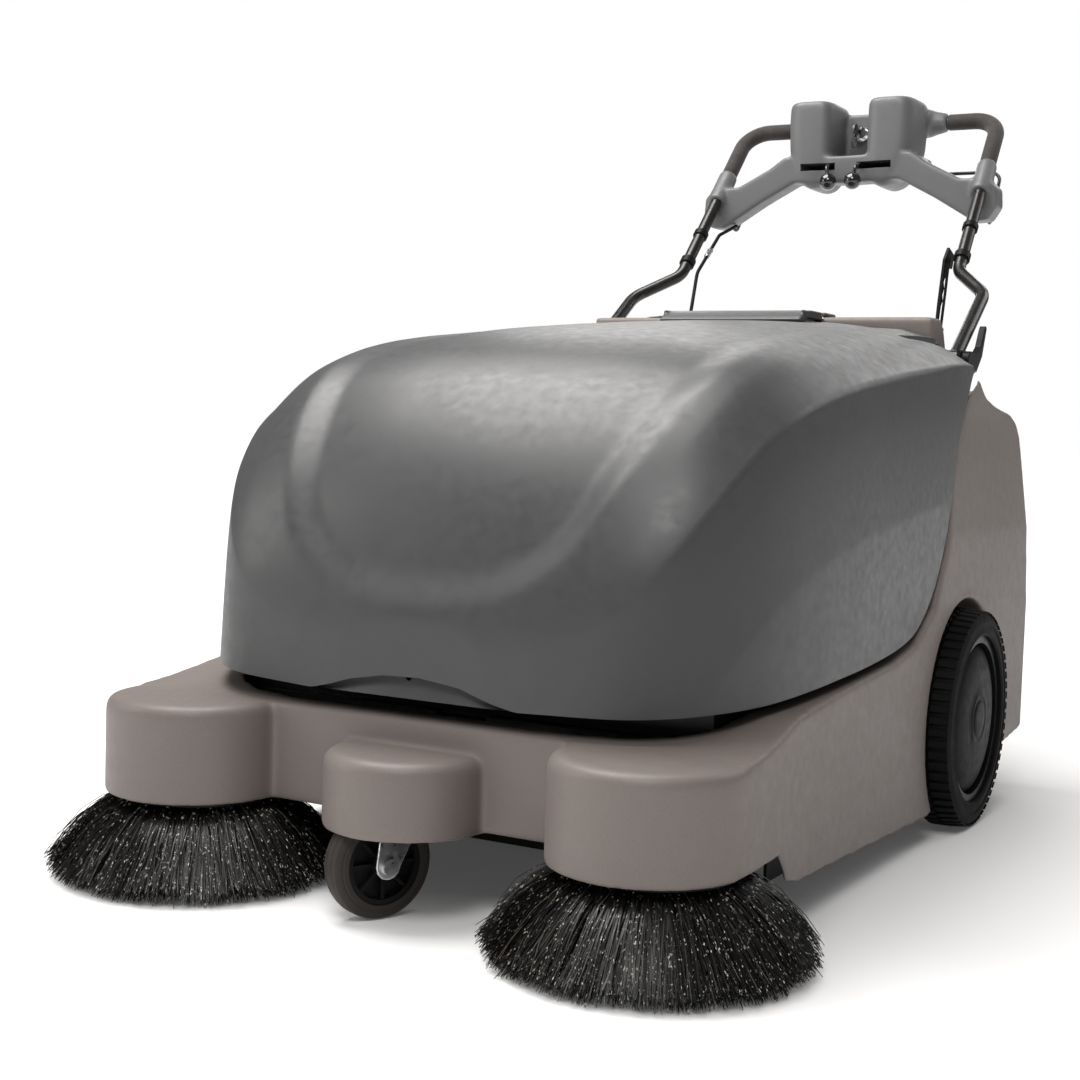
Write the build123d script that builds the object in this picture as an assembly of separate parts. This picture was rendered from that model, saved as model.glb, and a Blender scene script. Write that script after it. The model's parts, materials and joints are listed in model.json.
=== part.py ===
from build123d import *
import math
import os

# ---------------------------------------------------------------------------
# Battery walk-behind sweeper.  Millimetres, +Z up, floor at Z = 0,
# the machine drives towards -Y, its left side is +X.
# Geometry is written with Y = 0 on the rear axle and moved by AXLE_Y at the
# end, so that the origin is the middle of the footprint.
# ---------------------------------------------------------------------------
AXLE_Y = 163.5          # rear axle in the finished frame
WHEEL_R = 150.0         # rear wheel radius
WHEEL_OUT = 404.5       # outer face of the rear tyres
SIDE_X = 380.0          # half width of the body shell
WALL = 5.0              # moulded wall
HOOD_GAP = 7.0          # gap between hood edge and body shell
BRUSH_X, BRUSH_Y = 293.0, -794.0    # side brush centres
BRUSH_R = 177.0         # side brush radius at the floor
CAST_Y, CAST_TRAIL, CAST_R = -799.0, 34.0, 60.0
CAST_TURN = -25.0       # caster swivel angle in the rest position
MB_Y, MB_Z, MB_R = -350.0, 140.0, 137.0   # main brush
PIV_Y, PIV_Z, TUBE_X = 147.0, 643.0, 300.0   # handle clamp axis
TUBE_R = 10.0           # handle tube radius
FOAM_R = 13.5           # foam grip radius

os.makedirs("parts", exist_ok=True)


# ---- helpers --------------------------------------------------------------
def bx(x0, x1, y0, y1, z0, z1):
    return Pos((x0 + x1) / 2, (y0 + y1) / 2, (z0 + z1) / 2) * Box(x1 - x0, y1 - y0, z1 - z0)


def cyx(r, x0, x1, y, z):
    return Pos((x0 + x1) / 2, y, z) * Rot(0, 90, 0) * Cylinder(r, x1 - x0)


def cyy(r, y0, y1, x, z):
    return Pos(x, (y0 + y1) / 2, z) * Rot(90, 0, 0) * Cylinder(r, y1 - y0)


def cyz(r, z0, z1, x, y):
    return Pos(x, y, (z0 + z1) / 2) * Cylinder(r, z1 - z0)


def poly_x(pts, x0, x1):
    """Prism along X from a polygon given as (y, z)."""
    f = make_face(Polyline(*[(x0, y, z) for y, z in pts], close=True))
    return extrude(f, amount=x1 - x0, dir=(1, 0, 0))


def poly_y(pts, y0, y1):
    """Prism along Y from a polygon given as (x, z)."""
    f = make_face(Polyline(*[(x, y0, z) for x, z in pts], close=True))
    return extrude(f, amount=y1 - y0, dir=(0, 1, 0))


def poly_z(pts, z0, z1):
    f = make_face(Polyline(*[(x, y, z0) for x, y in pts], close=True))
    return extrude(f, amount=z1 - z0, dir=(0, 0, 1))


def mirx(s):
    return mirror(s, about=Plane.YZ)


def vsub(a, b):
    return tuple(p - q for p, q in zip(a, b))


def vlen(a):
    return math.sqrt(sum(p * p for p in a))


def bent_path(pts, rad):
    """Straight runs joined by tangent arcs; rad is one value or one per bend."""
    n = len(pts)
    rads = rad if isinstance(rad, (list, tuple)) else [rad] * (n - 2)
    edges = []
    cur = pts[0]
    for i in range(1, n - 1):
        p = pts[i]
        a = vsub(pts[i - 1], p)
        b = vsub(pts[i + 1], p)
        la, lb = vlen(a), vlen(b)
        ua = tuple(q / la for q in a)
        ub = tuple(q / lb for q in b)
        ang = math.acos(max(-1, min(1, sum(q * w for q, w in zip(ua, ub)))))
        half = ang / 2
        r = rads[i - 1]
        d = r / math.tan(half)
        t1 = tuple(q + w * d for q, w in zip(p, ua))
        t2 = tuple(q + w * d for q, w in zip(p, ub))
        bis = tuple(q + w for q, w in zip(ua, ub))
        lb2 = vlen(bis)
        bis = tuple(q / lb2 for q in bis)
        mid = tuple(q + w * (r / math.sin(half) - r) for q, w in zip(p, bis))
        edges.append(Line(cur, t1))
        edges.append(ThreePointArc(t1, mid, t2))
        cur = t2
    edges.append(Line(cur, pts[-1]))
    return Wire(edges)


def pipe(pts, r, rad):
    w = bent_path(pts, rad)
    return sweep(Plane(origin=w @ 0, z_dir=w % 0) * Circle(r), path=w)


def save(shape, name):
    export_step(Pos(0, AXLE_Y, 0) * shape, "parts/" + name + ".step")


# ---- hood -----------------------------------------------------------------
# stations along Y: half width, crown height, shoulder height
HOOD = [
    (-803, 95, 326, 286), (-798, 165, 352, 303), (-785, 248, 402, 345),
    (-762, 291, 460, 392), (-730, 319, 513, 437), (-690, 339, 560, 480),
    (-640, 354, 602, 520), (-580, 364, 633, 550), (-500, 371, 655, 573),
    (-400, 374, 669, 590), (-300, 374, 678, 602), (-200, 374, 686, 613),
    (-100, 373, 693, 622), (0, 369, 699, 630), (112, 356, 706, 634)]


def hood_section(y, w, zc, zs, z0):
    half = [(w, z0), (w, z0 + 0.5 * (zs - z0)), (0.985 * w, zs - 26), (0.95 * w, zs),
            (0.80 * w, zs + 0.52 * (zc - zs)), (0.55 * w, zs + 0.83 * (zc - zs)),
            (0.28 * w, zs + 0.96 * (zc - zs))]
    pts = half + [(0, zc)] + [(-x, z) for x, z in reversed(half)]
    top = Spline(*[(x, y, z) for x, z in pts])
    return make_face(Wire([top, Line(top @ 1, top @ 0)]))


def hood_solid(t, z0, y_end):
    """Hood volume inset by t."""
    st = []
    for (y, w, zc, zs) in HOOD:
        yy = y + (t if y < -700 else 0)
        st.append((yy, w - t, zc - t, zs - t))
    if y_end > 112:
        st.append((y_end,) + st[-1][1:])
    return loft([hood_section(y, w, zc, zs, z0) for y, w, zc, zs in st], ruled=True)


# hood edge in side view (y, z), front to rear
EDGE = [(-797, 234), (-640, 243), (-516, 251), (-300, 265), (-226, 278), (-150, 322),
        (-95, 397), (-63, 476), (-17, 544), (66, 606), (112, 628)]
below = [(-950, 150), (-950, 234)] + EDGE + [(112, 900), (500, 900), (500, 150)]


def pocket(g, y0, y1, floor):
    """Room for a handle tube beside the raised middle of the hood."""
    p = poly_z([(283 - g, y0 - g), (297 + g, y0 - g), (318 + g, 60 - g), (343 + g, 112),
                (343 + g, y1), (283 - g, y1)], floor - g, 900)
    return p


hp = pocket(0, -60, 140, 600)
hpi = pocket(WALL, -60, 160, 600)
outer = hood_solid(0, 200, 112) - hp - mirx(hp)
inner = hood_solid(WALL, 190, 150) - hpi - mirx(hpi)
hood = outer - inner - poly_x(below, -500, 500)
notch = bx(-118, 118, 38, 200, 640, 900)
hood = hood - notch
# finger recess in the lower front edge, with a set-back inner wall
rec = poly_y([(-131, 220), (-131, 234), (-78, 251), (-32, 260), (14, 261), (65, 255), (133, 235), (133, 220)], -830, -788)
hood = hood - rec
cup = bx(-138, 138, -783, -779, 232, 275) + bx(-138, 138, -797, -779, 271, 275)
hood = hood + (cup & hood_solid(1, 200, 112))
# hinge straps reaching back through the notch to the hinge axis
HY, HZ = 113.6, 702.4
strap = None
for x in (-90, -30, 30, 90):
    e = bx(x - 9, x + 9, 6, 38.5, 684, 697) & hood_solid(1, 200, 112)
    e = e + bx(x - 9, x + 9, 30, 108, 688, 695) + cyx(4.2, x - 9, x + 9, HY, HZ) + bx(x - 9, x + 9, 104, 112, 690, 703)
    strap = e if strap is None else strap + e
hood = (hood + strap) - cyx(2.55, -130, 130, HY, HZ)
# raised rear flap of the hood over the hinge straps
flap = bx(-112, 112, 30, 107, 706.4, 712) + bx(-112, 112, 30, 37.5, 692, 712)
flap = fillet(flap.faces().sort_by(Axis.Z)[-1].edges(), 2.5)
hood = hood + flap
save(hood, "hood")


# ---- body shell -----------------------------------------------------------
def body_solid(t):
    """Body volume inset by t (open underneath when t > 0)."""
    o = 60 if t else 0
    sec = [(SIDE_X - t, 0 - o), (SIDE_X - t, 285), (375 - t, 400), (362 - t, 500),
           (353 - t, 560), (347 - t, 660)]
    sec = sec + [(-x, z) for x, z in reversed(sec)]
    top = [(331 - t, 540), (318 - t, 560 - t), (290, 571 - t), (236, 577 - t), (200, 582 - t),
           (156, 592 - t), (136, 606 - t), (118, 619 - t), (75, 598 - t), (-6 + t, 536 - t),
           (-53 + t, 471 - t), (-86 + t, 392 - t), (-143 + t, 314 - t), (-224 + t, 270 - t),
           (-300, 257 - t), (-516, 243 - t), (-640, 234 - t), (-700, 222 - t), (-750, 214 - t), (-792 + t, 210 - t)]
    bot = [(-792 + t, 97 - o), (-690, 97 - o), (-660, 64 - o), (-612, 53 - o), (-140, 36 - o),
           (-66, 50 - o), (331 - t, 90 - o)]
    main = poly_y(sec, -792 + t, 331 - t) & poly_x(bot + top, -500, 500)
    # the flanks swell out to meet the front lobes
    flank = [(300, -500), (SIDE_X - t, -500), (SIDE_X + 2 - t, -590), (SIDE_X + 6 - t, -650), (SIDE_X + 11 - t, -710),
             (SIDE_X + 14 - t, -765), (SIDE_X + 14.5 - t, -792 + t), (300, -792 + t)]
    side_ = poly_z(flank, 0 - o, 300) & poly_x(bot + top, -500, 500)
    main = main + side_ + mirx(side_)
    sl = cyz(103 - t, 97 - o, 210 - t, 292, -803)
    sl = fillet(sl.edges().group_by(Axis.Z)[-1], 13 - t)
    cl = cyz(91 - t, 96 - o, 180 - t, 0, -799)
    cl = fillet(cl.edges().group_by(Axis.Z)[-1], 14 - t)
    hump = poly_x([(118 + t, 540), (118 + t, 706 - t), (165 - t, 706 - t), (180 - t, 690 - t),
                   (236 - t, 575 - t), (236 - t, 540)], -276 + t, 276 - t)
    return main + sl + mirx(sl) + cl + hump


bo = body_solid(0)
def deck_pocket(g):
    p = bx(278 - g, 348 + g, 58 - g, 118 + g, 590 - g, 900) + bx(283 - g, 343 + g, 110, 164 + g, 600 - g, 900)
    return p + mirx(p)


bo = bo - deck_pocket(0)
bi = body_solid(WALL) - deck_pocket(WALL)
shell = bo - bi
# bay opening under the hood
mouth = [(190, -757), (240, -748), (278, -728), (300, -706), (312, -685), (322, -640), (330, -580), (335, -500), (335, 60)]
shell = shell - poly_z([(-x, y) for x, y in reversed(mouth)] + mouth, 170, 650)
# holes for the clamp knobs in the sides of the raised deck
shell = shell - cyx(23, 255, 300, PIV_Y, PIV_Z) - cyx(23, -300, -255, PIV_Y, PIV_Z)
# hopper doorway at the rear
shell = shell - bx(-302, 302, 300, 340, 200, 520)
# wheel wells
for s in (1, -1):
    x0, x1 = (325, 380) if s > 0 else (-380, -325)
    w0, w1 = (330, 420) if s > 0 else (-420, -330)
    well = cyx(168, x0, x1, 0, WHEEL_R) & bx(-400, 400, -200, 200, 44, 400)
    shell = shell + well - cyx(163, w0, w1, 0, WHEEL_R) - cyx(24, x0 - 5 if s > 0 else x0 - 60, x1 + 60 if s > 0 else x1 + 5, 0, WHEEL_R)
save(shell, "body_shell")

# raised cover in the middle of the rear deck
panel = bx(-112, 112, 125, 170, 706.2, 713)
panel = fillet(panel.edges().filter_by(Axis.Z), 6)
panel = fillet(panel.faces().sort_by(Axis.Z)[-1].edges(), 2.5)
panel = panel + poly_y([(-205, 706.2), (-160, 709.4), (-108, 711), (-108, 706.2)], 128, 164)
save(panel, "rear_panel")

# ---- steel sub frame ------------------------------------------------------
fr = bx(340, 360, -690, -176, 176, 204) + bx(200, 220, -195, 150, 176, 204)
fr = fr + mirx(fr) + bx(-360, 360, -695, -675, 176, 204) + bx(-360, 360, -201, -181, 176, 204) \
    + bx(-220, 220, 140, 160, 176, 204)
fr = fr - bx(-34, 34, -700, -670, 200, 210)
save(fr, "sub_frame")

# ---- hood hinges on the deck ----------------------------------------------
hinges = cyx(2.5, -112, 112, HY, HZ) + bx(-110, 110, 115.9, 117.8, 676, 694)
for x in (-105, -60, 0, 60, 105):
    hinges = hinges + cyx(4.2, x - 5, x + 5, HY, HZ) + bx(x - 5, x + 5, 111.5, 117.8, 680, 702.4)
save(hinges, "hood_hinges")

# ---- batteries, tray, controller ------------------------------------------
tray = bx(-305, 305, -680, -498, 205, 209)
tray = tray + bx(-305, 305, -680, -677, 205, 235) + bx(-305, 305, -501, -498, 205, 235) \
    + bx(-305, -302, -680, -498, 205, 235) + bx(302, 305, -680, -498, 205, 235)
save(tray, "battery_tray")
for s, n in ((1, "left"), (-1, "right")):
    b = bx(12, 298, -672, -508, 209.2, 395)
    b = fillet(b.edges().filter_by(Axis.Z), 6)
    b = b + bx(14, 296, -670, -510, 395, 407) + cyz(8, 407, 421, 50, -540) + cyz(8, 407, 421, 262, -540) \
        + bx(120, 210, -615, -585, 407, 411)
    save(b if s > 0 else mirx(b), "battery_" + n)
cbox = bx(-250, -60, -440, -300, 300, 372)
cbox = fillet(cbox.edges().filter_by(Axis.Z), 8)
for i in range(7):
    cbox = cbox + bx(-240 + i * 28, -232 + i * 28, -432, -308, 372, 386)
cbox = cbox + bx(-235, -75, -447, -440, 318, 350)
save(cbox, "control_box")

# ---- main brush -----------------------------------------------------------
hous = cyx(153, -292, 292, MB_Y, MB_Z) - cyx(150, -288, 288, MB_Y, MB_Z)
keep = poly_x([(-700, 130), (-330, 140), (-330, 210), (0, 210), (0, 400), (-700, 400)], -300, 300) \
    + bx(-292, -288, -505, -195, 50, 300) + bx(288, 292, -505, -195, 50, 300)
hous = hous & keep
hous = hous - cyx(26, -300, -286, MB_Y, MB_Z) - cyx(26, 286, 300, MB_Y, MB_Z)
# flat seat for the electronics and flanges to the side rails
hous = hous + (bx(-270, 270, -440, -296, 292.5, 300) - cyx(151, -280, 280, MB_Y, MB_Z))
flr = bx(290, 339.8, -480, -440, 180, 186)
hous = hous + flr + mirx(flr)
save(hous, "brush_housing")

core = cyx(38, -280, 280, MB_Y, MB_Z) + cyx(12, -300, 336, MB_Y, MB_Z)
save(core, "main_brush_core")
# bristle rows: eight straight ribs on the core
bris = None
for i in range(8):
    a = i * 45
    rib = Pos(0, MB_Y, MB_Z) * Rot(a, 0, 0) * bx(-276, 276, -9, 9, 38.2, MB_R)
    bris = rib if bris is None else bris + rib
bris = bris - cyx(38.1, -290, 290, MB_Y, MB_Z)
save(bris, "main_brush_bristles")
br = cyx(26, 286, 296, MB_Y, MB_Z) - cyx(12.03, 280, 300, MB_Y, MB_Z) + (cyx(34, 292.1, 297, MB_Y, MB_Z) - cyx(12.03, 280, 300, MB_Y, MB_Z))
save(br + mirx(br), "brush_bearings")

# brush motor, pulleys and belt
BM_Y, BM_Z, BELT_X = -250.0, 372.0, 322.0
mot = cyx(52, 120, 290, BM_Y, BM_Z) + bx(130, 280, BM_Y - 40, BM_Y + 40, 312, 330) \
    + cyx(20, 290, 300, BM_Y, BM_Z) + bx(150, 262, BM_Y - 30, BM_Y + 60, 305, 313)
mot = mot + bx(150, 262, -230, -190, 204.2, 312) - cyx(153.2, 100, 300, MB_Y, MB_Z)
mot = mot - cyx(8.03, 286, 305, BM_Y, BM_Z)
save(mot, "brush_motor")
P1, P2 = 24.0, 48.0
pul1 = cyx(P1, BELT_X - 10, BELT_X + 10, BM_Y, BM_Z) + cyx(P1 + 4, BELT_X - 12, BELT_X - 10, BM_Y, BM_Z) \
    + cyx(P1 + 4, BELT_X + 10, BELT_X + 12, BM_Y, BM_Z) + cyx(8, 288, 312, BM_Y, BM_Z)
save(pul1, "motor_pulley")
pul2 = cyx(P2, BELT_X - 10, BELT_X + 10, MB_Y, MB_Z) + cyx(P2 + 4, BELT_X - 12, BELT_X - 10, MB_Y, MB_Z) \
    + cyx(P2 + 4, BELT_X + 10, BELT_X + 12, MB_Y, MB_Z) - cyx(12.01, 290, 350, MB_Y, MB_Z)
save(pul2, "brush_pulley")


def belt_face(r1, r2, x):
    """Outline of a belt round the two pulleys in the plane X = x."""
    dy, dz = BM_Y - MB_Y, BM_Z - MB_Z
    d = math.hypot(dy, dz)
    base = math.atan2(dz, dy)
    a = math.acos((r2 - r1) / d)
    def pt(cy_, cz_, r, ang):
        return (x, cy_ + r * math.cos(ang), cz_ + r * math.sin(ang))
    p1 = pt(MB_Y, MB_Z, r2, base + a)
    p2 = pt(BM_Y, BM_Z, r1, base + a)
    p3 = pt(BM_Y, BM_Z, r1, base - a)
    p4 = pt(MB_Y, MB_Z, r2, base - a)
    m1 = pt(BM_Y, BM_Z, r1, base)
    m2 = pt(MB_Y, MB_Z, r2, base + math.pi)
    return make_face(Wire([Line(p1, p2), ThreePointArc(p2, m1, p3), Line(p3, p4), ThreePointArc(p4, m2, p1)]))


belt = extrude(belt_face(P1 + 5.4, P2 + 5.4, BELT_X - 8), amount=16, dir=(1, 0, 0)) \
    - extrude(belt_face(P1 + 0.4, P2 + 0.4, BELT_X - 9), amount=18, dir=(1, 0, 0))
save(belt, "drive_belt")

# ---- hopper ---------------------------------------------------------------
hop = bx(-288, 288, -186, 318, 206, 436) - bx(-284, 284, -190, 314, 210, 440)
hop = hop + bx(-298, 298, 318, 324, 206, 514) + bx(-288, 288, 300, 318, 432, 436)
lug = bx(-112, -104, 324, 340, 418, 438) + bx(104, 112, 324, 340, 418, 438)
lug = lug - cyx(4.1, -130, 130, 332, 428)
hop = hop + lug
save(hop, "hopper")
hh = pipe([(-103, 332, 428), (-92, 332, 428), (-92, 332, 372), (92, 332, 372), (92, 332, 428), (103, 332, 428)],
          5, [6, 12, 12, 6])
hh = hh + cyx(4, -111.5, -102, 332, 428) + cyx(4, 102, 111.5, 332, 428)
save(hh, "hopper_handle")

# ---- filter and vacuum fan ------------------------------------------------
flt = bx(-230, 230, -6, 250, 455, 505)
for i in range(11):
    flt = flt - bx(-222 + i * 41, -204 + i * 41, 2, 242, 450, 470)
flt = flt + bx(-340, 340, -6, 30, 505, 508) + bx(-340, 340, 220, 260, 505, 508)
save(flt, "panel_filter")
fh = cyz(92, 510, 572, 0, 120) - cyz(88, 514, 568, 0, 120) - cyz(34, 505, 516, 0, 120)
fh = fh + (bx(84, 170, 40, 84, 510, 572) - bx(80, 175, 44, 80, 514, 568)) - cyz(88, 514, 568, 0, 120)
fh = fh + cyz(42, 572, 588, 0, 120) + bx(-150, 150, 100, 140, 505.5, 510) - cyz(34, 500, 516, 0, 120) - cyz(6.03, 560, 586, 0, 120)
save(fh, "fan_housing")
imp = cyz(80, 552, 556, 0, 120) + cyz(14, 530, 560, 0, 120) + cyz(6, 556, 584, 0, 120)
for i in range(9):
    imp = imp + Pos(0, 120, 0) * Rot(0, 0, i * 40) * bx(30, 78, -1.5, 1.5, 522, 553)
save(imp, "fan_impeller")

# ---- rear axle and wheels -------------------------------------------------
axle = cyx(12, -398, 398, 0, WHEEL_R)
save(axle, "rear_axle")
tr = bx(-62, 62, -52, 56, 98, 202) - cyx(12.03, -80, 80, 0, WHEEL_R)
tr = fillet(tr.edges().filter_by(Axis.X).group_by(Axis.Z)[0], 20)
tr = tr + cyx(42, 62, 188, 98, 148) + bx(40, 62, 40, 140, 108, 190) - cyx(12.03, -80, 80, 0, WHEEL_R)
tr = tr + bx(-199.8, 199.8, -30, -10, 190, 202) - cyx(12.03, -80, 80, 0, WHEEL_R)
save(tr, "transaxle")
ab = bx(200, 220, -32, 32, 120, 175.9) - cyx(12.03, 190, 230, 0, WHEEL_R)
save(ab + mirx(ab), "axle_bearings")


def wheel(s):
    tyre = cyx(WHEEL_R - 3, 352, WHEEL_OUT, 0, WHEEL_R) - cyx(114, 340, 420, 0, WHEEL_R)
    lug_ = None
    for i in range(60):
        g = Pos(0, 0, WHEEL_R) * Rot(i * 6, 0, 0) * bx(353, 403, -4.5, 4.5, WHEEL_R - 6, WHEEL_R)
        lug_ = g if lug_ is None else lug_ + g
    tyre = tyre + (lug_ & cyx(WHEEL_R, 350, 410, 0, WHEEL_R))
    hub = cyx(113.98, 356, 398, 0, WHEEL_R) - cyx(104, 378, 405, 0, WHEEL_R) - cyx(98, 350, 372, 0, WHEEL_R)
    hub = hub + cyx(26, 346, 386, 0, WHEEL_R) - cyx(12.01, 340, 405, 0, WHEEL_R)
    cap = cyx(103.9, 386.5, 391, 0, WHEEL_R) + Pos(391, 0, WHEEL_R) * Rot(0, 90, 0) * Pos(0, 0, 6) * Cone(103.9, 86, 12)
    cap = cap + cyx(33, 403, 404.5, 0, WHEEL_R) - cyx(20, 380, 399, 0, WHEEL_R)
    if s < 0:
        return mirx(tyre), mirx(hub), mirx(cap)
    return tyre, hub, cap


for s, n in ((1, "left"), (-1, "right")):
    ty, hu, ca = wheel(s)
    save(ty, "tyre_" + n)
    save(hu, "wheel_hub_" + n)
    save(ca, "hub_cap_" + n)

# ---- caster ---------------------------------------------------------------
cw_y = CAST_Y - CAST_TRAIL


def turned(shape):
    """Caster pieces are drawn straight ahead and swung to the rest angle."""
    return Pos(0, CAST_Y, 0) * Rot(0, 0, CAST_TURN) * Pos(0, -CAST_Y, 0) * shape


cp = bx(-38, 38, CAST_Y - 38, CAST_Y + 38, 168.5, 174.8) + cyz(24, 140, 168.5, 0, CAST_Y) + cyz(9, 134.2, 141, 0, CAST_Y)
save(cp, "caster_plate")
fork = cyz(26, 134.3, 139.7, 0, CAST_Y) + bx(-23.5, 23.5, cw_y - 4, CAST_Y + 20, 128.5, 134.4) - cyz(9.05, 120, 145, 0, CAST_Y)
leg = poly_x([(CAST_Y + 20, 134), (CAST_Y - 40, 134), (cw_y - 15, CAST_R), (cw_y - 13, CAST_R - 7.5), (cw_y - 7.5, CAST_R - 13),
              (cw_y, CAST_R - 15), (cw_y + 7.5, CAST_R - 13), (cw_y + 13, CAST_R - 7.5), (cw_y + 15, CAST_R - 1)], 20, 23.5)
fork = fork + leg + mirx(leg) - cyx(5.0, -40, 40, cw_y, CAST_R)
save(turned(fork), "caster_fork")
cty = cyx(CAST_R, -16, 16, cw_y, CAST_R)
cty = fillet(cty.edges(), 7) - cyx(44, -20, 20, cw_y, CAST_R)
save(turned(cty), "caster_tyre")
chub = cyx(43.98, -14, 14, cw_y, CAST_R) - cyx(38, 5, 20, cw_y, CAST_R) - cyx(38, -20, -5, cw_y, CAST_R)
chub = chub + cyx(13, -18, 18, cw_y, CAST_R)
for i in range(8):
    g = Pos(0, cw_y, CAST_R) * Rot(i * 45, 0, 0) * bx(-12, 12, -2, 2, 12, 39)
    chub = chub + g
chub = chub - cyx(5.04, -20, 20, cw_y, CAST_R)
save(turned(chub), "caster_wheel")
cax = cyx(5.0, -27, 27, cw_y, CAST_R) + cyx(9, 23.6, 29, cw_y, CAST_R) + cyx(9, -30, -23.6, cw_y, CAST_R)
save(turned(cax), "caster_axle")

# ---- side brushes ---------------------------------------------------------
for s, n in ((1, "left"), (-1, "right")):
    disc = cyz(90, 94, 108, BRUSH_X, BRUSH_Y) + cyz(20, 108, 120, BRUSH_X, BRUSH_Y) - cyz(6.03, 90, 125, BRUSH_X, BRUSH_Y)
    prof = [(60, 93.8), (90, 93.8), (120, 62), (150, 30), (168, 8), (BRUSH_R, 1), (128, 1), (104, 30), (80, 62)]
    f = make_face(Polyline(*[(x, 0, z) for x, z in prof], close=True))
    cone = Pos(BRUSH_X, BRUSH_Y, 0) * revolve(f, Axis.Z)
    save(disc if s > 0 else mirx(disc), "side_disc_" + n)
    save(cone if s > 0 else mirx(cone), "side_bristles_" + n)
sm = cyz(34, 121, 190, BRUSH_X, BRUSH_Y) + cyz(6.0, 98, 121, BRUSH_X, BRUSH_Y) + bx(BRUSH_X - 45, BRUSH_X + 45, BRUSH_Y - 20, BRUSH_Y + 20, 190, 201.8)
save(sm + mirx(sm), "side_brush_motors")

# ---- rubber skirts --------------------------------------------------------
sk = bx(-276, 276, -512, -508, 12, 120) + bx(-286, 286, -196, -192, 10, 120)
sks = bx(292.2, 296, -490, -215, 12, 60)
sk = sk + sks + mirx(sks) + bx(-276, 276, -508, -504.5, 100, 120)
save(sk, "dust_skirts")

# ---- handle ---------------------------------------------------------------
knee = (298.3, 300.2, 752.6)
joint = (238.3, 382.2, 819.0)
foot = (TUBE_X, PIV_Y + 6, PIV_Z + 4.5)
corner = (227.8, 601.0, 1068.9)
dirn = vsub(corner, joint)
ld = vlen(dirn)
dirn = tuple(q / ld for q in dirn)
up = tuple(q + w * 200 for q, w in zip(joint, dirn))      # lower end of the foam


def lower_tube():
    dn = tuple(q - w * 34 for q, w in zip(joint, dirn))
    t = pipe([foot, knee, dn, joint], TUBE_R, [38, 30])
    return t + cyx(17, 290.2, 309.8, PIV_Y, PIV_Z) - cyx(5.3, 280, 320, PIV_Y, PIV_Z)


lt = lower_tube()
save(lt + mirx(lt), "lower_tubes")


def ring(p, r, l, hole):
    c = Plane(origin=p, z_dir=dirn) * Cylinder(r, l)
    return c - Plane(origin=p, z_dir=dirn) * Cylinder(hole, l + 2)


r1 = tuple(q - w * 2 for q, w in zip(joint, dirn))
r2 = tuple(q + w * 66 for q, w in zip(joint, dirn))
sl = ring(r1, 13, 12, TUBE_R + 0.02) + ring(r2, 12.5, 10, TUBE_R + 0.02)
save(sl + mirx(sl), "handle_sleeves")
js = tuple(q + w * 0.3 for q, w in zip(joint, dirn))
jm = tuple(-js[0] if i == 0 else js[i] for i in range(3))
cm = (-corner[0], corner[1], corner[2])
upper = pipe([js, corner, cm, jm], TUBE_R, 44)
save(upper, "upper_tube")


def foam():
    a = pipe([up, corner, (141.2, 601, 1068.9)], FOAM_R, 44)
    b = pipe([tuple(q - w * 3 for q, w in zip(up, dirn)), corner, (120, 601, 1068.9)], TUBE_R + 0.02, 44)
    return a - b


fo = foam()
save(fo + mirx(fo), "foam_grips")

# console: arched crossbar with a two-lobed pod
arch_h = [(0, 957), (92, 961), (154, 928), (222, 886), (250, 889), (266, 912), (264, 944),
          (242, 957), (192, 958), (128, 990), (100, 1006), (0, 1008)]
arch = poly_y([(x, z) for x, z in arch_h] + [(-x, z) for x, z in reversed(arch_h[1:-1])], 486, 530)
arch = fillet(arch.edges().filter_by(Axis.Y), 5)
lobe = bx(29, 113, 497, 600, 978, 1099)
lobe = fillet(lobe.edges().filter_by(Axis.Y), 18)
lobe = fillet(lobe.edges().filter_by(Axis.X), 14)
cone_ = Pos(126, 601, 1068.9) * Rot(0, 90, 0) * Cone(24, 15, 30)
web = bx(-40, 40, 566, 598, 985, 1089)
lob = lobe + (cone_ & bx(100, 145, 560, 625, 1040, 1097))
back = bx(30, 112, 585, 618, 1046, 1092)
con = arch + lob + mirx(lob) + web + back + mirx(back) + bx(-60, 60, 497, 566, 978, 1000)
mj, mc = (-js[0], js[1], js[2]), (-corner[0], corner[1], corner[2])
con = con - pipe([js, corner, mc, mj], TUBE_R + 0.03, 44)
slot = bx(19, 80, 480, 580, 980, 992)
con = con - slot - mirx(slot) - cyy(11, 540, 572, 0, 1052)
lugb = bx(237, 245, 526, 550, 896, 914) - cyx(3.05, 220, 260, 541, 905)
con = con + lugb + mirx(lugb)
save(con, "console")

ks = cyy(10.97, 545, 571.9, 0, 1052) + (cyy(14, 560, 565.9, 0, 1052) - cyy(10.9, 540, 572, 0, 1052)) - cyy(3.9, 540, 560.5, 0, 1052)
save(ks, "key_switch")
key = bx(-1.1, 1.1, 536, 559, 1048.5, 1055.5) + (cyx(11, -1.5, 1.5, 528, 1052) - cyx(3.5, -5, 5, 523, 1046))
kr = Pos(0, 523, 1034) * Rot(0, 90, 0) * Torus(12, 0.9)
key = key + kr
save(key, "key")


def lever(s):
    a = cyz(6, 981, 991, 48, 566) + bx(44.5, 51.5, 470, 566, 984.2, 988)
    a = a - cyz(3.03, 970, 1000, 48, 566)
    a = Pos(48, 566, 0) * Rot(0, 0, -13) * Pos(-48, -566, 0) * a
    ex = 48 - 100 * math.sin(math.radians(13)) * 1.0
    stem = pipe([(ex + 2, 474, 986), (ex, 464, 980), (ex - 3.5, 463, 962)], 3.2, 6)
    a = a + stem + Pos(21.5, 463, 957) * Sphere(14.5)
    return a if s > 0 else mirx(a)


save(lever(1), "lever_left")
save(lever(-1), "lever_right")

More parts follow.
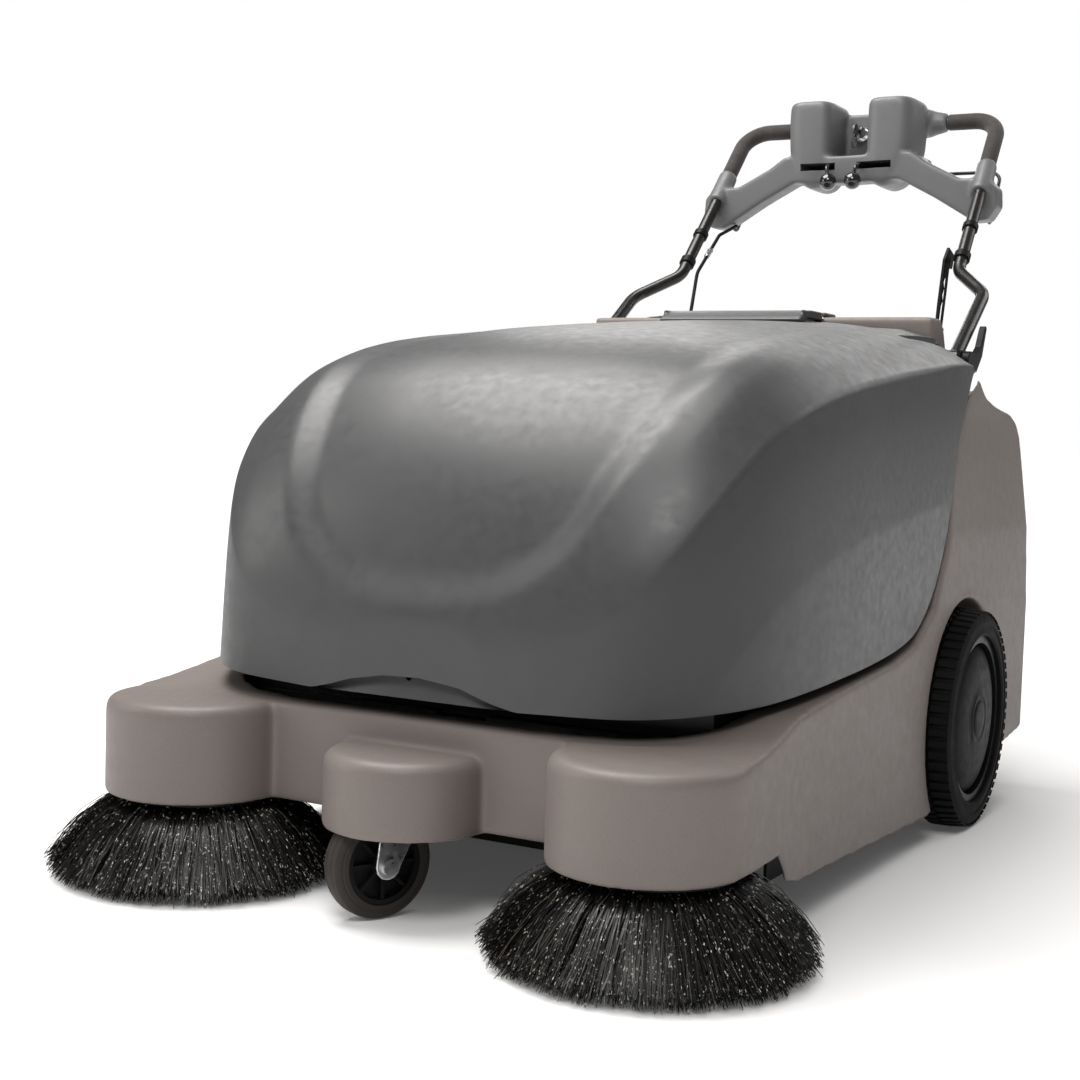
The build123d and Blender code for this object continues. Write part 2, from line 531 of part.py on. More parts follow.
bail = pipe([(-232, 541, 905), (-229, 563, 889), (-224, 641, 988), (224, 641, 988), (229, 563, 889), (232, 541, 905)],
            3, [9, 24, 24, 9])
bail = bail + cyx(3, 232, 244, 541, 905) + cyx(3, -244, -232, 541, 905) + Pos(232, 541, 905) * Sphere(3) + Pos(-232, 541, 905) * Sphere(3)
save(bail, "drive_bail")

# ---- cable and latch on the handle ----------------------------------------
cable = pipe([(-205, 508, 893), (-217, 462, 872), (-221.5, 385, 800), (-214, 352, 742), (-214, 320, 640), (-214, 304, 571.5)],
             3.0, [18, 50, 60, 60])
save(cable, "control_cable")
lat = poly_x([(402, 822), (372, 832), (352, 812), (333, 742), (322, 690), (327, 688), (341, 738), (349, 746),
              (346, 756), (354, 766), (350, 776), (360, 786), (368, 800), (392, 800)], 216, 220)
lat = lat + pipe([(223, 362, 812), (223, 350, 760), (223, 334, 700)], 2.2, 60) + bx(219, 224, 358, 366, 806, 814) \
    + Pos(223, 334, 700) * Sphere(5)
save(lat, "latch_lever")

# ---- handle clamps --------------------------------------------------------
clb = bx(285.6, 289.8, PIV_Y - 18, PIV_Y + 18, 601, PIV_Z + 16) + bx(310.2, 314.4, PIV_Y - 18, PIV_Y + 18, 601, PIV_Z + 16) \
    + bx(285.6, 314.4, PIV_Y - 18, PIV_Y + 18, 601, 606)
clb = clb - cyx(5.02, 280, 320, PIV_Y, PIV_Z)
clb = clb + cyx(4.98, 272, 324, PIV_Y, PIV_Z)
save(clb + mirx(clb), "clamp_brackets")
for s, n in ((1, "left"), (-1, "right")):
    k = cyx(17, 262, 285, PIV_Y, PIV_Z + 0) - cyx(5.03, 270, 290, PIV_Y, PIV_Z)
    for i in range(14):
        k = k + (Pos(0, PIV_Y, PIV_Z) * Rot(i * 360 / 14, 0, 0) * bx(264, 281, -1.6, 1.6, 16, 19))
    save(k if s > 0 else mirx(k), "clamp_knob_" + n)
    c = cyx(15, 315, 327, PIV_Y, PIV_Z) + (poly_x([(PIV_Y - 10, PIV_Z - 11), (PIV_Y + 34, PIV_Z - 14), (PIV_Y + 60, PIV_Z + 10),
        (PIV_Y + 78, PIV_Z + 52), (PIV_Y + 74, PIV_Z + 56), (PIV_Y + 68, PIV_Z + 50), (PIV_Y + 52, PIV_Z + 24),
        (PIV_Y + 34, PIV_Z + 13), (PIV_Y, PIV_Z + 14)], 316, 326)) - cyx(5.03, 300, 324.3, PIV_Y, PIV_Z)
    save(c if s > 0 else mirx(c), "cam_lever_" + n)

# ---- screws of the shell --------------------------------------------------
scr = None
for (x, y) in ((350, -600), (350, -450), (350, -300)):
    g = cyz(6, 205.0, 209, x, y)
    scr = g if scr is None else scr + g
for (x, z) in ((310, 250), (310, 470)):
    scr = scr + cyy(6, 331.05, 334, x, z)
save(scr + mirx(scr), "shell_screws")
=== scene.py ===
import bpy, bmesh, math, random, json
from mathutils import Vector, Matrix
import numpy as np


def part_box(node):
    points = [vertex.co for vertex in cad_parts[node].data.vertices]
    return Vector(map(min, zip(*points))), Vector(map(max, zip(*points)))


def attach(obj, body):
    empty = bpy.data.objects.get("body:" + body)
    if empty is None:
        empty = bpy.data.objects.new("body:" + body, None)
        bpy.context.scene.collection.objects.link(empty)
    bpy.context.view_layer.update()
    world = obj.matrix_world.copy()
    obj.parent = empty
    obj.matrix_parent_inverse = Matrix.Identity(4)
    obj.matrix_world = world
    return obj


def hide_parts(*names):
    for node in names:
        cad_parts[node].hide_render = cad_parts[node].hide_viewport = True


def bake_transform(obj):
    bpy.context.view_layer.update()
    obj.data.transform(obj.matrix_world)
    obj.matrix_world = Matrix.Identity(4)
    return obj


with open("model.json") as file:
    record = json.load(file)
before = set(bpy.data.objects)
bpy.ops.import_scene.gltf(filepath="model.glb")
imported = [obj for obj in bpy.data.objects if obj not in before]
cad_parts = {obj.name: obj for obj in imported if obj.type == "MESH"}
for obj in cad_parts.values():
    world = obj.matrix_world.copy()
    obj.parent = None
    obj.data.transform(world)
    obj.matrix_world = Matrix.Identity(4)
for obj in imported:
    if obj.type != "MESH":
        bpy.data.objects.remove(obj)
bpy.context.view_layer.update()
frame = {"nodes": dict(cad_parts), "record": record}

NODES = frame["nodes"]
REC = frame["record"]
AY = 163.5                       # rear axle along y, mm
col = bpy.context.scene.collection


def P(x, y, z):
    """Millimetres measured from the rear axle to metres in the frame."""
    return Vector((x / 1000.0, (y + AY) / 1000.0, z / 1000.0))


# ------------------------------------------------------------------ materials
def new_mat(name):
    m = bpy.data.materials.new(name)
    m.use_nodes = True
    nt = m.node_tree
    b = nt.nodes["Principled BSDF"]
    return m, nt, b


def noise(nt, co, scale, detail=4.0, rough=0.5):
    n = nt.nodes.new("ShaderNodeTexNoise")
    n.inputs["Scale"].default_value = scale
    n.inputs["Detail"].default_value = detail
    n.inputs["Roughness"].default_value = rough
    nt.links.new(co, n.inputs["Vector"])
    return n.outputs["Fac"]


def ramp(nt, fac, stops):
    r = nt.nodes.new("ShaderNodeValToRGB")
    e = r.color_ramp.elements
    e[0].position, e[0].color = stops[0][0], tuple(stops[0][1]) + (1,)
    e[1].position, e[1].color = stops[-1][0], tuple(stops[-1][1]) + (1,)
    for p, c in stops[1:-1]:
        n = e.new(p)
        n.color = tuple(c) + (1,)
    nt.links.new(fac, r.inputs["Fac"])
    return r.outputs["Color"]


def mixc(nt, fac, a, b, kind="MIX"):
    m = nt.nodes.new("ShaderNodeMix")
    m.data_type = "RGBA"
    m.blend_type = kind
    for s, v in ((0, fac), (6, a), (7, b)):
        if hasattr(v, "is_linked"):
            nt.links.new(v, m.inputs[s])
        else:
            m.inputs[s].default_value = v
    return m.outputs[2]


def maprange(nt, v, a, b, c, d):
    m = nt.nodes.new("ShaderNodeMapRange")
    nt.links.new(v, m.inputs["Value"])
    for k, x in (("From Min", a), ("From Max", b), ("To Min", c), ("To Max", d)):
        m.inputs[k].default_value = x
    return m.outputs["Result"]


def bump(nt, b, h, strength, dist, prev=None):
    n = nt.nodes.new("ShaderNodeBump")
    n.inputs["Strength"].default_value = strength
    n.inputs["Distance"].default_value = dist
    nt.links.new(h, n.inputs["Height"])
    if prev is not None:
        nt.links.new(prev, n.inputs["Normal"])
    nt.links.new(n.outputs["Normal"], b.inputs["Normal"])
    return n.outputs["Normal"]


def coords(nt):
    return nt.nodes.new("ShaderNodeTexCoord").outputs["Object"]


def sc(c, k):
    return tuple(min(1.0, v * k) for v in c)


def plastic(name, c, rough=0.45, grain=0.25, gscale=900.0, var=0.06, wear=0.25, spec=0.5, coat=0.0, dust=0.0):
    m, nt, b = new_mat(name)
    co = coords(nt)
    big = noise(nt, co, 5.0, 3.0)
    mid = noise(nt, co, 70.0, 6.0, 0.6)
    base = ramp(nt, big, [(0.3, sc(c, 1 - var)), (0.7, sc(c, 1 + var))])
    speck = ramp(nt, noise(nt, co, gscale * 0.7, 2.0), [(0.35, (0.90, 0.90, 0.90)), (0.65, (1.08, 1.08, 1.08))])
    base = mixc(nt, 0.55, base, speck, "MULTIPLY")
    geo = nt.nodes.new("ShaderNodeNewGeometry")
    edge = ramp(nt, geo.outputs["Pointiness"], [(0.52, (0, 0, 0)), (0.62, (1, 1, 1))])
    ed = nt.nodes.new("ShaderNodeMath")
    ed.operation = "MULTIPLY"
    nt.links.new(edge, ed.inputs[0])
    nt.links.new(mid, ed.inputs[1])
    e2 = maprange(nt, ed.outputs[0], 0.0, 1.0, 0.0, wear)
    base = mixc(nt, e2, base, sc(c, 1.9) + (1,))
    if dust > 0:
        sep = nt.nodes.new("ShaderNodeSeparateXYZ")
        nt.links.new(geo.outputs["Normal"], sep.inputs[0])
        up = maprange(nt, sep.outputs["Z"], 0.3, 1.0, 0.0, dust)
        base = mixc(nt, up, base, (0.42, 0.39, 0.36, 1))
    nt.links.new(base, b.inputs["Base Color"])
    nt.links.new(maprange(nt, mid, 0.3, 0.7, rough - 0.06, rough + 0.07), b.inputs["Roughness"])
    n1 = bump(nt, b, noise(nt, co, gscale, 3.0), grain, 0.0003)
    bump(nt, b, noise(nt, co, 18.0, 2.0), 0.05, 0.002, n1)
    b.inputs["Specular IOR Level"].default_value = spec
    b.inputs["Coat Weight"].default_value = coat
    b.inputs["Coat Roughness"].default_value = 0.15
    return m


def metal(name, c, rough, var=0.1, scale=120.0, aniso=0.0, rust=0.0):
    m, nt, b = new_mat(name)
    co = coords(nt)
    base = ramp(nt, noise(nt, co, 30.0, 6.0), [(0.3, sc(c, 1 - var)), (0.7, sc(c, 1 + var))])
    if rust > 0:
        r = ramp(nt, noise(nt, co, 45.0, 8.0, 0.7), [(0.62, (0, 0, 0)), (0.72, (1, 1, 1))])
        base = mixc(nt, maprange(nt, r, 0, 1, 0, rust), base, (0.20, 0.09, 0.04, 1))
    nt.links.new(base, b.inputs["Base Color"])
    b.inputs["Metallic"].default_value = 1.0
    nt.links.new(maprange(nt, noise(nt, co, scale, 5.0), 0.3, 0.7, rough - 0.05, rough + 0.08), b.inputs["Roughness"])
    bump(nt, b, noise(nt, co, 500.0, 3.0), 0.12, 0.0003)
    b.inputs["Anisotropic"].default_value = aniso
    return m


def bristle_mat(name):
    m, nt, b = new_mat(name)
    geo = nt.nodes.new("ShaderNodeNewGeometry")
    r = geo.outputs["Random Per Island"]
    # random dark tone per bristle; the lightest few strands are painted glints
    base = ramp(nt, r, [(0.0, (0.004, 0.0038, 0.0036)), (0.88, (0.007, 0.0065, 0.006)), (0.95, (0.022, 0.019, 0.017)),
                        (1.0, (0.12, 0.10, 0.085))])
    co = coords(nt)
    # short pale specks on single bristles: painted glints
    base = mixc(nt, maprange(nt, noise(nt, co, 230.0, 1.0), 0.655, 0.70, 0.0, 0.92), base, (0.62, 0.58, 0.53, 1))
    nt.links.new(base, b.inputs["Base Color"])
    nt.links.new(maprange(nt, r, 0, 1, 0.22, 0.45), b.inputs["Roughness"])
    bump(nt, b, noise(nt, co, 1500.0, 2.0), 0.2, 0.0002)
    b.inputs["Specular IOR Level"].default_value = 0.35
    return m


def foam_mat(name, c):
    m, nt, b = new_mat(name)
    co = coords(nt)
    v = nt.nodes.new("ShaderNodeTexVoronoi")
    v.inputs["Scale"].default_value = 900.0
    nt.links.new(co, v.inputs["Vector"])
    base = ramp(nt, noise(nt, co, 60.0, 6.0), [(0.3, sc(c, 0.8)), (0.7, sc(c, 1.25))])
    base = mixc(nt, 0.6, base, ramp(nt, v.outputs["Distance"], [(0.0, (0.55, 0.55, 0.55)), (0.5, (1.1, 1.1, 1.1))]), "MULTIPLY")
    nt.links.new(base, b.inputs["Base Color"])
    nt.links.new(maprange(nt, noise(nt, co, 200.0), 0.3, 0.7, 0.72, 0.9), b.inputs["Roughness"])
    bump(nt, b, v.outputs["Distance"], 0.5, 0.0006)
    b.inputs["Sheen Weight"].default_value = 0.15
    return m


def pleated(name, c):
    m, nt, b = new_mat(name)
    co = coords(nt)
    w = nt.nodes.new("ShaderNodeTexWave")
    w.inputs["Scale"].default_value = 60.0
    nt.links.new(co, w.inputs["Vector"])
    # the pleat valleys are painted darker (painted shade), following the waves of the pleat bump
    base = mixc(nt, 0.5, ramp(nt, noise(nt, co, 40.0), [(0.3, sc(c, 0.9)), (0.7, c)]),
                ramp(nt, w.outputs["Fac"], [(0.0, (0.5, 0.5, 0.5)), (1.0, (1, 1, 1))]), "MULTIPLY")
    nt.links.new(base, b.inputs["Base Color"])
    nt.links.new(maprange(nt, noise(nt, co, 300.0), 0.3, 0.7, 0.8, 0.95), b.inputs["Roughness"])
    bump(nt, b, w.outputs["Fac"], 0.6, 0.002)
    return m


HOOD_C = (0.047, 0.0483, 0.0497)
SHELL_C = (0.168, 0.143, 0.132)
POD_C = (0.112, 0.113, 0.116)
MATS = {
    "hood_plastic": plastic("HoodPlastic", HOOD_C, 0.41, 0.12, 1100.0, 0.04, 0.03, 0.5),
    "shell_plastic": plastic("BodyPlastic", SHELL_C, 0.50, 0.16, 900.0, 0.04, 0.06, 0.45),
    "console_plastic": plastic("ConsolePlastic", POD_C, 0.42, 0.25, 1000.0, 0.05, 0.15),
    "black_plastic": plastic("BlackPlastic", (0.008, 0.0078, 0.008), 0.36, 0.2, 800.0, 0.15, 0.2, 0.11),
    "gloss_black": plastic("GlossBlack", (0.006, 0.006, 0.006), 0.12, 0.03, 400.0, 0.1, 0.1, 0.6, 0.6),
    "black_tube": plastic("BlackTube", (0.0085, 0.0072, 0.0065), 0.30, 0.0, 500.0, 0.08, 0.04, 0.4, 0.25),
    "foam": foam_mat("FoamGrip", (0.026, 0.022, 0.020)),
    "bristle": bristle_mat("Bristle"),
    "tyre_black": plastic("TyreRubber", (0.006, 0.0057, 0.0057), 0.62, 0.4, 600.0, 0.2, 0.3, 0.07),
    "caster_rubber": plastic("CasterRubber", (0.026, 0.021, 0.018), 0.66, 0.4, 700.0, 0.12, 0.2, 0.35),
    "skirt_rubber": plastic("SkirtRubber", (0.012, 0.012, 0.012), 0.6, 0.4, 500.0, 0.2, 0.2, 0.35),
    "zinc": metal("ZincPlate", (0.62, 0.62, 0.63), 0.30, 0.12, 90.0),
    "steel": metal("Steel", (0.45, 0.45, 0.46), 0.35, 0.15, 100.0, 0.2, 0.15),
    "frame_black": plastic("FramePaint", (0.014, 0.014, 0.015), 0.32, 0.12, 350.0, 0.15, 0.35),
    "chrome_wire": metal("ChromeWire", (0.75, 0.75, 0.76), 0.14, 0.05, 60.0),
    "motor_grey": plastic("MotorPaint", (0.16, 0.17, 0.18), 0.38, 0.12, 300.0, 0.12, 0.35),
    "aluminium_cast": metal("CastAluminium", (0.55, 0.55, 0.56), 0.5, 0.12, 200.0),
    "filter_paper": pleated("FilterPaper", (0.72, 0.66, 0.52)),
    "battery_case": plastic("BatteryCase", (0.03, 0.03, 0.032), 0.45, 0.2, 500.0, 0.1, 0.2),
}
CAP_BLACK = plastic("CapPlastic", (0.0045, 0.0045, 0.0047), 0.46, 0.2, 800.0, 0.12, 0.15, 0.05)
KEY_STEEL = metal("KeySteel", (0.10, 0.10, 0.10), 0.42, 0.1, 90.0)
SLOT = {s["node"]: s["material_slot"] for s in REC["subparts"]}
BODY = {}
for n, b in REC["behaviour"]["bodies"].items():
    for k in (b["nodes"] if isinstance(b, dict) else b):
        BODY[k] = n


def body_of(node):
    return BODY.get(node, "chassis")


for n, o in NODES.items():
    o.data.materials.clear()
    o.data.materials.append(MATS[SLOT.get(n, "black_plastic")])
    o.data.polygons.foreach_set("use_smooth", [True] * len(o.data.polygons))
    o.data.set_sharp_from_angle(angle=math.radians(32))


NODES["key"].data.materials[0] = KEY_STEEL


def add_mesh(name, verts, faces, slot, body, smooth=True, sharp=None):
    me = bpy.data.meshes.new(name)
    me.from_pydata([tuple(v) for v in verts], [], faces)
    me.validate()
    me.update()
    o = bpy.data.objects.new(name, me)
    col.objects.link(o)
    if smooth:
        me.polygons.foreach_set("use_smooth", [True] * len(me.polygons))
        if sharp:
            me.set_sharp_from_angle(angle=math.radians(sharp))
    me.materials.append(MATS[slot])
    if body:
        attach(o, body)
    return o


def bake(o):
    """Applies the modifiers of an object to its own mesh."""
    dg = bpy.context.evaluated_depsgraph_get()
    dg.update()
    ev = o.evaluated_get(dg)
    me = bpy.data.meshes.new_from_object(ev)
    o.modifiers.clear()
    o.data = me
    return o


def soften(node, voxel, iters, name=None, factor=0.5, slot=None, adapt=0.0, blocks=()):
    """Moulded version of a CAD node: the same shape with rounded edges and filled inner corners."""
    src = NODES[node]
    me = src.data.copy()
    if blocks:
        bm_ = bmesh.new()
        bm_.from_mesh(me)
        for b_ in blocks:
            block(bm_, *b_)
        bmesh.ops.recalc_face_normals(bm_, faces=bm_.faces)
        bm_.to_mesh(me)
        bm_.free()
    o = bpy.data.objects.new(name or node + "_moulded", me)
    col.objects.link(o)
    r = o.modifiers.new("r", "REMESH")
    r.mode = "VOXEL"
    r.voxel_size = voxel
    r.adaptivity = adapt
    r.use_smooth_shade = True
    s = o.modifiers.new("s", "SMOOTH")
    s.factor = factor
    s.iterations = iters
    bake(o)
    o.data.polygons.foreach_set("use_smooth", [True] * len(o.data.polygons))
    o.data.materials.clear()
    sl = slot or SLOT[node]
    o.data.materials.append(MATS[sl])
    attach(o, body_of(node))
    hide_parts(node)
    return o


def lathe(name, prof, origin, axis, slot, body, n=96, closed=True, sharp=40):
    """Revolves (radius, height) points in metres about an axis through origin."""
    ax = Vector(axis).normalized()
    q = Vector((0, 0, 1)).rotation_difference(ax)
    vs, fs = [], []
    m = len(prof)
    for i in range(n):
        a = 2 * math.pi * i / n
        for r, h in prof:
            vs.append(Vector(origin) + q @ Vector((r * math.cos(a), r * math.sin(a), h)))
    for i in range(n):
        j = (i + 1) % n
        for k in range(m if closed else m - 1):
            l = (k + 1) % m
            fs.append((i * m + k, j * m + k, j * m + l, i * m + l))
    o = add_mesh(name, vs, fs, slot, body, True, sharp)
    bm = bmesh.new()
    bm.from_mesh(o.data)
    bmesh.ops.remove_doubles(bm, verts=bm.verts, dist=1e-6)
    bmesh.ops.recalc_face_normals(bm, faces=bm.faces)
    bm.to_mesh(o.data)
    bm.free()
    return o


# ------------------------------------------------------------------ camera
def vcross(a, b):
    return Vector(a).cross(Vector(b))


az = math.radians(29.508)
fwd = Vector((-0.4913745, 0.86823774, -0.06866091)).normalized()
right = Vector((math.cos(az), math.sin(az), 0.0))
upv = right.cross(fwd)
ro = math.radians(1.835)
r2 = right * math.cos(ro) + upv * math.sin(ro)
u2 = upv * math.cos(ro) - right * math.sin(ro)
cam = bpy.data.cameras.new("Camera")
cam.sensor_width = 36.0
cam.lens = 1722.3 * 36.0 / 1080.0
cam.clip_end = 50.0
cam.dof.use_dof = False
camo = bpy.data.objects.new("Camera", cam)
col.objects.link(camo)
M = Matrix.Identity(4)
for i in range(3):
    M[i][0], M[i][1], M[i][2] = r2[i], u2[i], -fwd[i]
pc = P(1024.570, -2334.393, 537.021)
for i in range(3):
    M[i][3] = pc[i]
camo.matrix_world = M
bpy.context.scene.camera = camo

# ------------------------------------------------------------------ stage
fm, fnt, fb = new_mat("Floor")
fb.inputs["Base Color"].default_value = (0.93, 0.93, 0.93, 1)
fb.inputs["Roughness"].default_value = 0.8
fb.inputs["Specular IOR Level"].default_value = 0.1
fb.inputs["Emission Color"].default_value = (1, 1, 1, 1)
ftc = fnt.nodes.new("ShaderNodeTexCoord")
fln = fnt.nodes.new("ShaderNodeVectorMath")
fln.operation = "LENGTH"
fnt.links.new(ftc.outputs["Object"], fln.inputs[0])
fnt.links.new(maprange(fnt, fln.outputs["Value"], 1.2, 4.5, 0.05, 1.0), fb.inputs["Emission Strength"])
fme = bpy.data.meshes.new("Floor")
vs, fs = [], []
prof = [(-9, 0), (60, 0)]
for y, z in prof:
    vs += [(-60, y, z), (60, y, z)]
for i in range(len(prof) - 1):
    fs.append((2 * i, 2 * i + 1, 2 * i + 3, 2 * i + 2))
fme.from_pydata(vs, [], fs)
fme.materials.append(fm)
fme.polygons.foreach_set("use_smooth", [True] * len(fme.polygons))
floor = bpy.data.objects.new("Floor", fme)
col.objects.link(floor)

w = bpy.data.worlds.new("World")
bpy.context.scene.world = w
w.use_nodes = True
wn = w.node_tree
bg = wn.nodes["Background"]
bg.inputs["Color"].default_value = (1.0, 0.99, 0.98, 1)
bg.inputs["Strength"].default_value = 0.18
bg2 = wn.nodes.new("ShaderNodeBackground")
bg2.inputs["Color"].default_value = (1, 1, 1, 1)
bg2.inputs["Strength"].default_value = 1.0
lp = wn.nodes.new("ShaderNodeLightPath")
ms = wn.nodes.new("ShaderNodeMixShader")
wn.links.new(lp.outputs["Is Camera Ray"], ms.inputs[0])
wn.links.new(bg.outputs[0], ms.inputs[1])
wn.links.new(bg2.outputs[0], ms.inputs[2])
wn.links.new(ms.outputs[0], wn.nodes["World Output"].inputs["Surface"])


def area(name, loc, target, size, power, color=(1, 1, 1), sy=None):
    l = bpy.data.lights.new(name, "AREA")
    l.energy = power
    l.color = color
    l.shape = "RECTANGLE"
    l.size = size
    l.size_y = sy or size
    o = bpy.data.objects.new(name, l)
    o.location = loc
    d = Vector(target) - Vector(loc)
    o.rotation_euler = d.to_track_quat("-Z", "Y").to_euler()
    col.objects.link(o)
    return o


area("TopSoft", (-0.8, -0.3, 2.9), (0, -0.1, 0.4), 2.0, 105, (1.0, 0.98, 0.96), 1.8)
area("BackTop", (-0.9, 3.4, 2.5), (0, -0.1, 0.6), 3.0, 42, (1.0, 0.985, 0.97), 1.6)
area("RidgeKey", (0.9, -2.9, 3.2), (0.1, -0.5, 0.5), 1.5, 70, (1.0, 0.985, 0.97), 1.5)
area("FillLeft", (-2.8, -2.0, 1.6), (0, -0.5, 0.4), 1.2, 26, (1.0, 0.98, 0.95), 1.8)
area("BackRight", (1.6, 2.4, 2.4), (0.2, 0.2, 0.7), 1.2, 14, (1.0, 0.99, 0.98), 1.6)

bpy.context.scene.view_settings.view_transform = "Standard"

# ------------------------------------------------------------------ hood
HOOD = [(-803, 95, 326, 286), (-798, 165, 352, 303), (-785, 248, 402, 345), (-762, 291, 460, 392),
        (-730, 319, 513, 437), (-690, 339, 560, 480), (-640, 354, 602, 520), (-580, 364, 633, 550),
        (-500, 371, 655, 573), (-400, 374, 669, 590), (-300, 374, 678, 602), (-200, 374, 686, 613),
        (-100, 373, 693, 622), (0, 369, 699, 630), (112, 356, 706, 634)]
EDGE = [(-803, 232), (-797, 234), (-640, 243), (-516, 251), (-300, 265), (-226, 278), (-150, 322),
        (-95, 397), (-63, 476), (-17, 544), (66, 606), (112, 628)]


def slopes(xs, ys):
    h = np.diff(xs)
    d = np.diff(ys) / h
    m = np.zeros(len(xs))
    for i in range(1, len(xs) - 1):
        if d[i - 1] * d[i] > 0:
            a, b = 2 * h[i] + h[i - 1], h[i] + 2 * h[i - 1]
            m[i] = (a + b) / (a / d[i - 1] + b / d[i])
    m[0], m[-1] = d[0], d[-1]
    return m


def smooth_curve(pts):
    xs = np.array([p[0] for p in pts], float)
    ys = np.array([p[1] for p in pts], float)
    m = slopes(xs, ys)

    def f(x):
        x = np.clip(x, xs[0], xs[-1])
        i = np.clip(np.searchsorted(xs, x, "right") - 1, 0, len(xs) - 2)
        h = xs[i + 1] - xs[i]
        t = (x - xs[i]) / h
        return ((1 + 2 * t) * (1 - t) ** 2 * ys[i] + t * (1 - t) ** 2 * h * m[i]
                + t * t * (3 - 2 * t) * ys[i + 1] + t * t * (t - 1) * h * m[i + 1])
    return f


half_w = smooth_curve([(h[0], h[1]) for h in HOOD])
crown = smooth_curve([(h[0], h[2]) for h in HOOD])
shoulder = smooth_curve([(h[0], h[3]) for h in HOOD])
edge_z = smooth_curve(EDGE)
SEC = [(0, 0), (0.28, 1), (0.55, 2), (0.80, 3), (0.95, 4), (0.985, 5), (1.0, 6)]


def top_z(x, y):
    """Height of the hood skin over plan points, -1000 outside the plan outline (mm, arrays)."""
    x, y = np.asarray(x, float), np.asarray(y, float)
    wd, zc, zs = half_w(y), crown(y), shoulder(y)
    a = np.abs(x) / wd
    d = zc - zs
    sx = np.array([0, .28, .55, .80, .958, .976, 1.0])
    sy = np.stack([zc, zs + .965 * d, zs + .84 * d, zs + .55 * d, zs + 1 + 0 * d, zs - 48, zs - 175])
    h = np.diff(sx)[:, None]
    dd = np.diff(sy, axis=0) / h
    m = np.zeros_like(sy)
    for i in range(1, 6):
        a1, b1 = 2 * h[i] + h[i - 1], h[i] + 2 * h[i - 1]
        m[i] = (a1 + b1) / (a1 / dd[i - 1] + b1 / dd[i])
    m[0], m[6] = 0 * dd[0], dd[5]
    # the shoulder is a crease along the sides and rounds off towards the nose
    kink = np.clip((y + 800) / 150.0, 0, 1)
    kink = kink * kink * (3 - 2 * kink) * 0.92
    ma, mb_ = m.copy(), m.copy()
    ma[4] = m[4] * (1 - kink) + dd[3] * 0.85 * kink
    mb_[4] = m[4] * (1 - kink) + dd[4] * kink
    i = np.clip(np.searchsorted(sx, np.minimum(a, 1), "right") - 1, 0, 5)
    hh = h[i, 0]
    t = (np.minimum(a, 1) - sx[i]) / hh
    k = np.arange(a.size)
    y0, y1, m0, m1 = sy[i, k], sy[i + 1, k], mb_[i, k], ma[i + 1, k]
    z = (1 + 2 * t) * (1 - t) ** 2 * y0 + t * (1 - t) ** 2 * hh * m0 + t * t * (3 - 2 * t) * y1 + t * t * (t - 1) * hh * m1
    z = np.where((a >= 1) | (y < -803), -1000.0, z)
    return z


OUT_U = [(0, 334), (48, 337), (78, 342), (105, 349), (141, 370), (183, 412), (208, 473), (232, 543), (252, 628),
         (268, 714), (262, 808), (247, 899), (240, 1010), (240, 1200)]
IN_U = [(0, 376), (45, 378), (92, 388), (134, 414), (166, 457), (184, 518), (200, 582), (214, 640), (226, 707),
        (224, 800), (212, 899), (206, 1010), (206, 1200)]


def seg_dist(px, py, pts):
    best = np.full(px.shape, 1e9)
    for (ax, ay), (bx_, by_) in zip(pts[:-1], pts[1:]):
        dx, dy = bx_ - ax, by_ - ay
        t = np.clip(((px - ax) * dx + (py - ay) * dy) / (dx * dx + dy * dy), 0, 1)
        best = np.minimum(best, np.hypot(px - ax - t * dx, py - ay - t * dy))
    return best


def smooth_poly(pts, n=6):
    r = []
    for i in range(len(pts) - 1):
        p0 = np.array(pts[max(i - 1, 0)] if i else (-pts[1][0], pts[1][1]), float)
        p1, p2 = np.array(pts[i], float), np.array(pts[i + 1], float)
        p3 = np.array(pts[min(i + 2, len(pts) - 1)], float)
        for k in range(n):
            t = k / n
            r.append(tuple(0.5 * (2 * p1 + (p2 - p0) * t + (2 * p0 - 5 * p1 + 4 * p2 - p3) * t ** 2
                                  + (3 * p1 - p0 - 3 * p2 + p3) * t ** 3)))
    r.append(pts[-1])
    return r


OUT_S, IN_S = smooth_poly(OUT_U), smooth_poly(IN_U)


def inside_u(ax, s, pts):
    ys = np.array([p[1] for p in pts])
    xs = np.array([p[0] for p in pts])
    o = np.argsort(ys)
    lim = np.interp(s, ys[o], xs[o], left=-1, right=xs[o][-1])
    return (ax < lim) & (s > ys.min())


def band_depth(x, y, z):
    """How far the middle panel of the hood is set back, mm."""
    ax = np.abs(x)
    s = z + 0.35 * (y + 803)
    do, di = seg_dist(ax, s, OUT_S), seg_dist(ax, s, IN_S)
    io, ii = inside_u(ax, s, OUT_S), inside_u(ax, s, IN_S)
    f = np.where(ii, 1.0, np.where(io, do / (do + di + 1e-6), 0.0))
    g = f * f * (3 - 2 * f)
    f = 0.25 * g + 0.75 * f
    depth = np.interp(s, [334, 520, 700, 900, 1010], [13, 13, 11, 7.0, 5.0])
    # the panel rises slightly again behind the band; the outer lip swell is computed but multiplied by zero
    lip = 2.0 * np.exp(-(do / 22.0) ** 2) * (~io)
    return f * depth - 0 * lip


def grip_rise(x, y):
    """The lower front edge arches up over the finger recess."""
    b = np.interp(x, [-131, -112, -78, -32, 14, 65, 108, 133], [0, 5, 16, 24.5, 26, 20, 6, 0])
    return np.where(y < -770, b, 0.0)


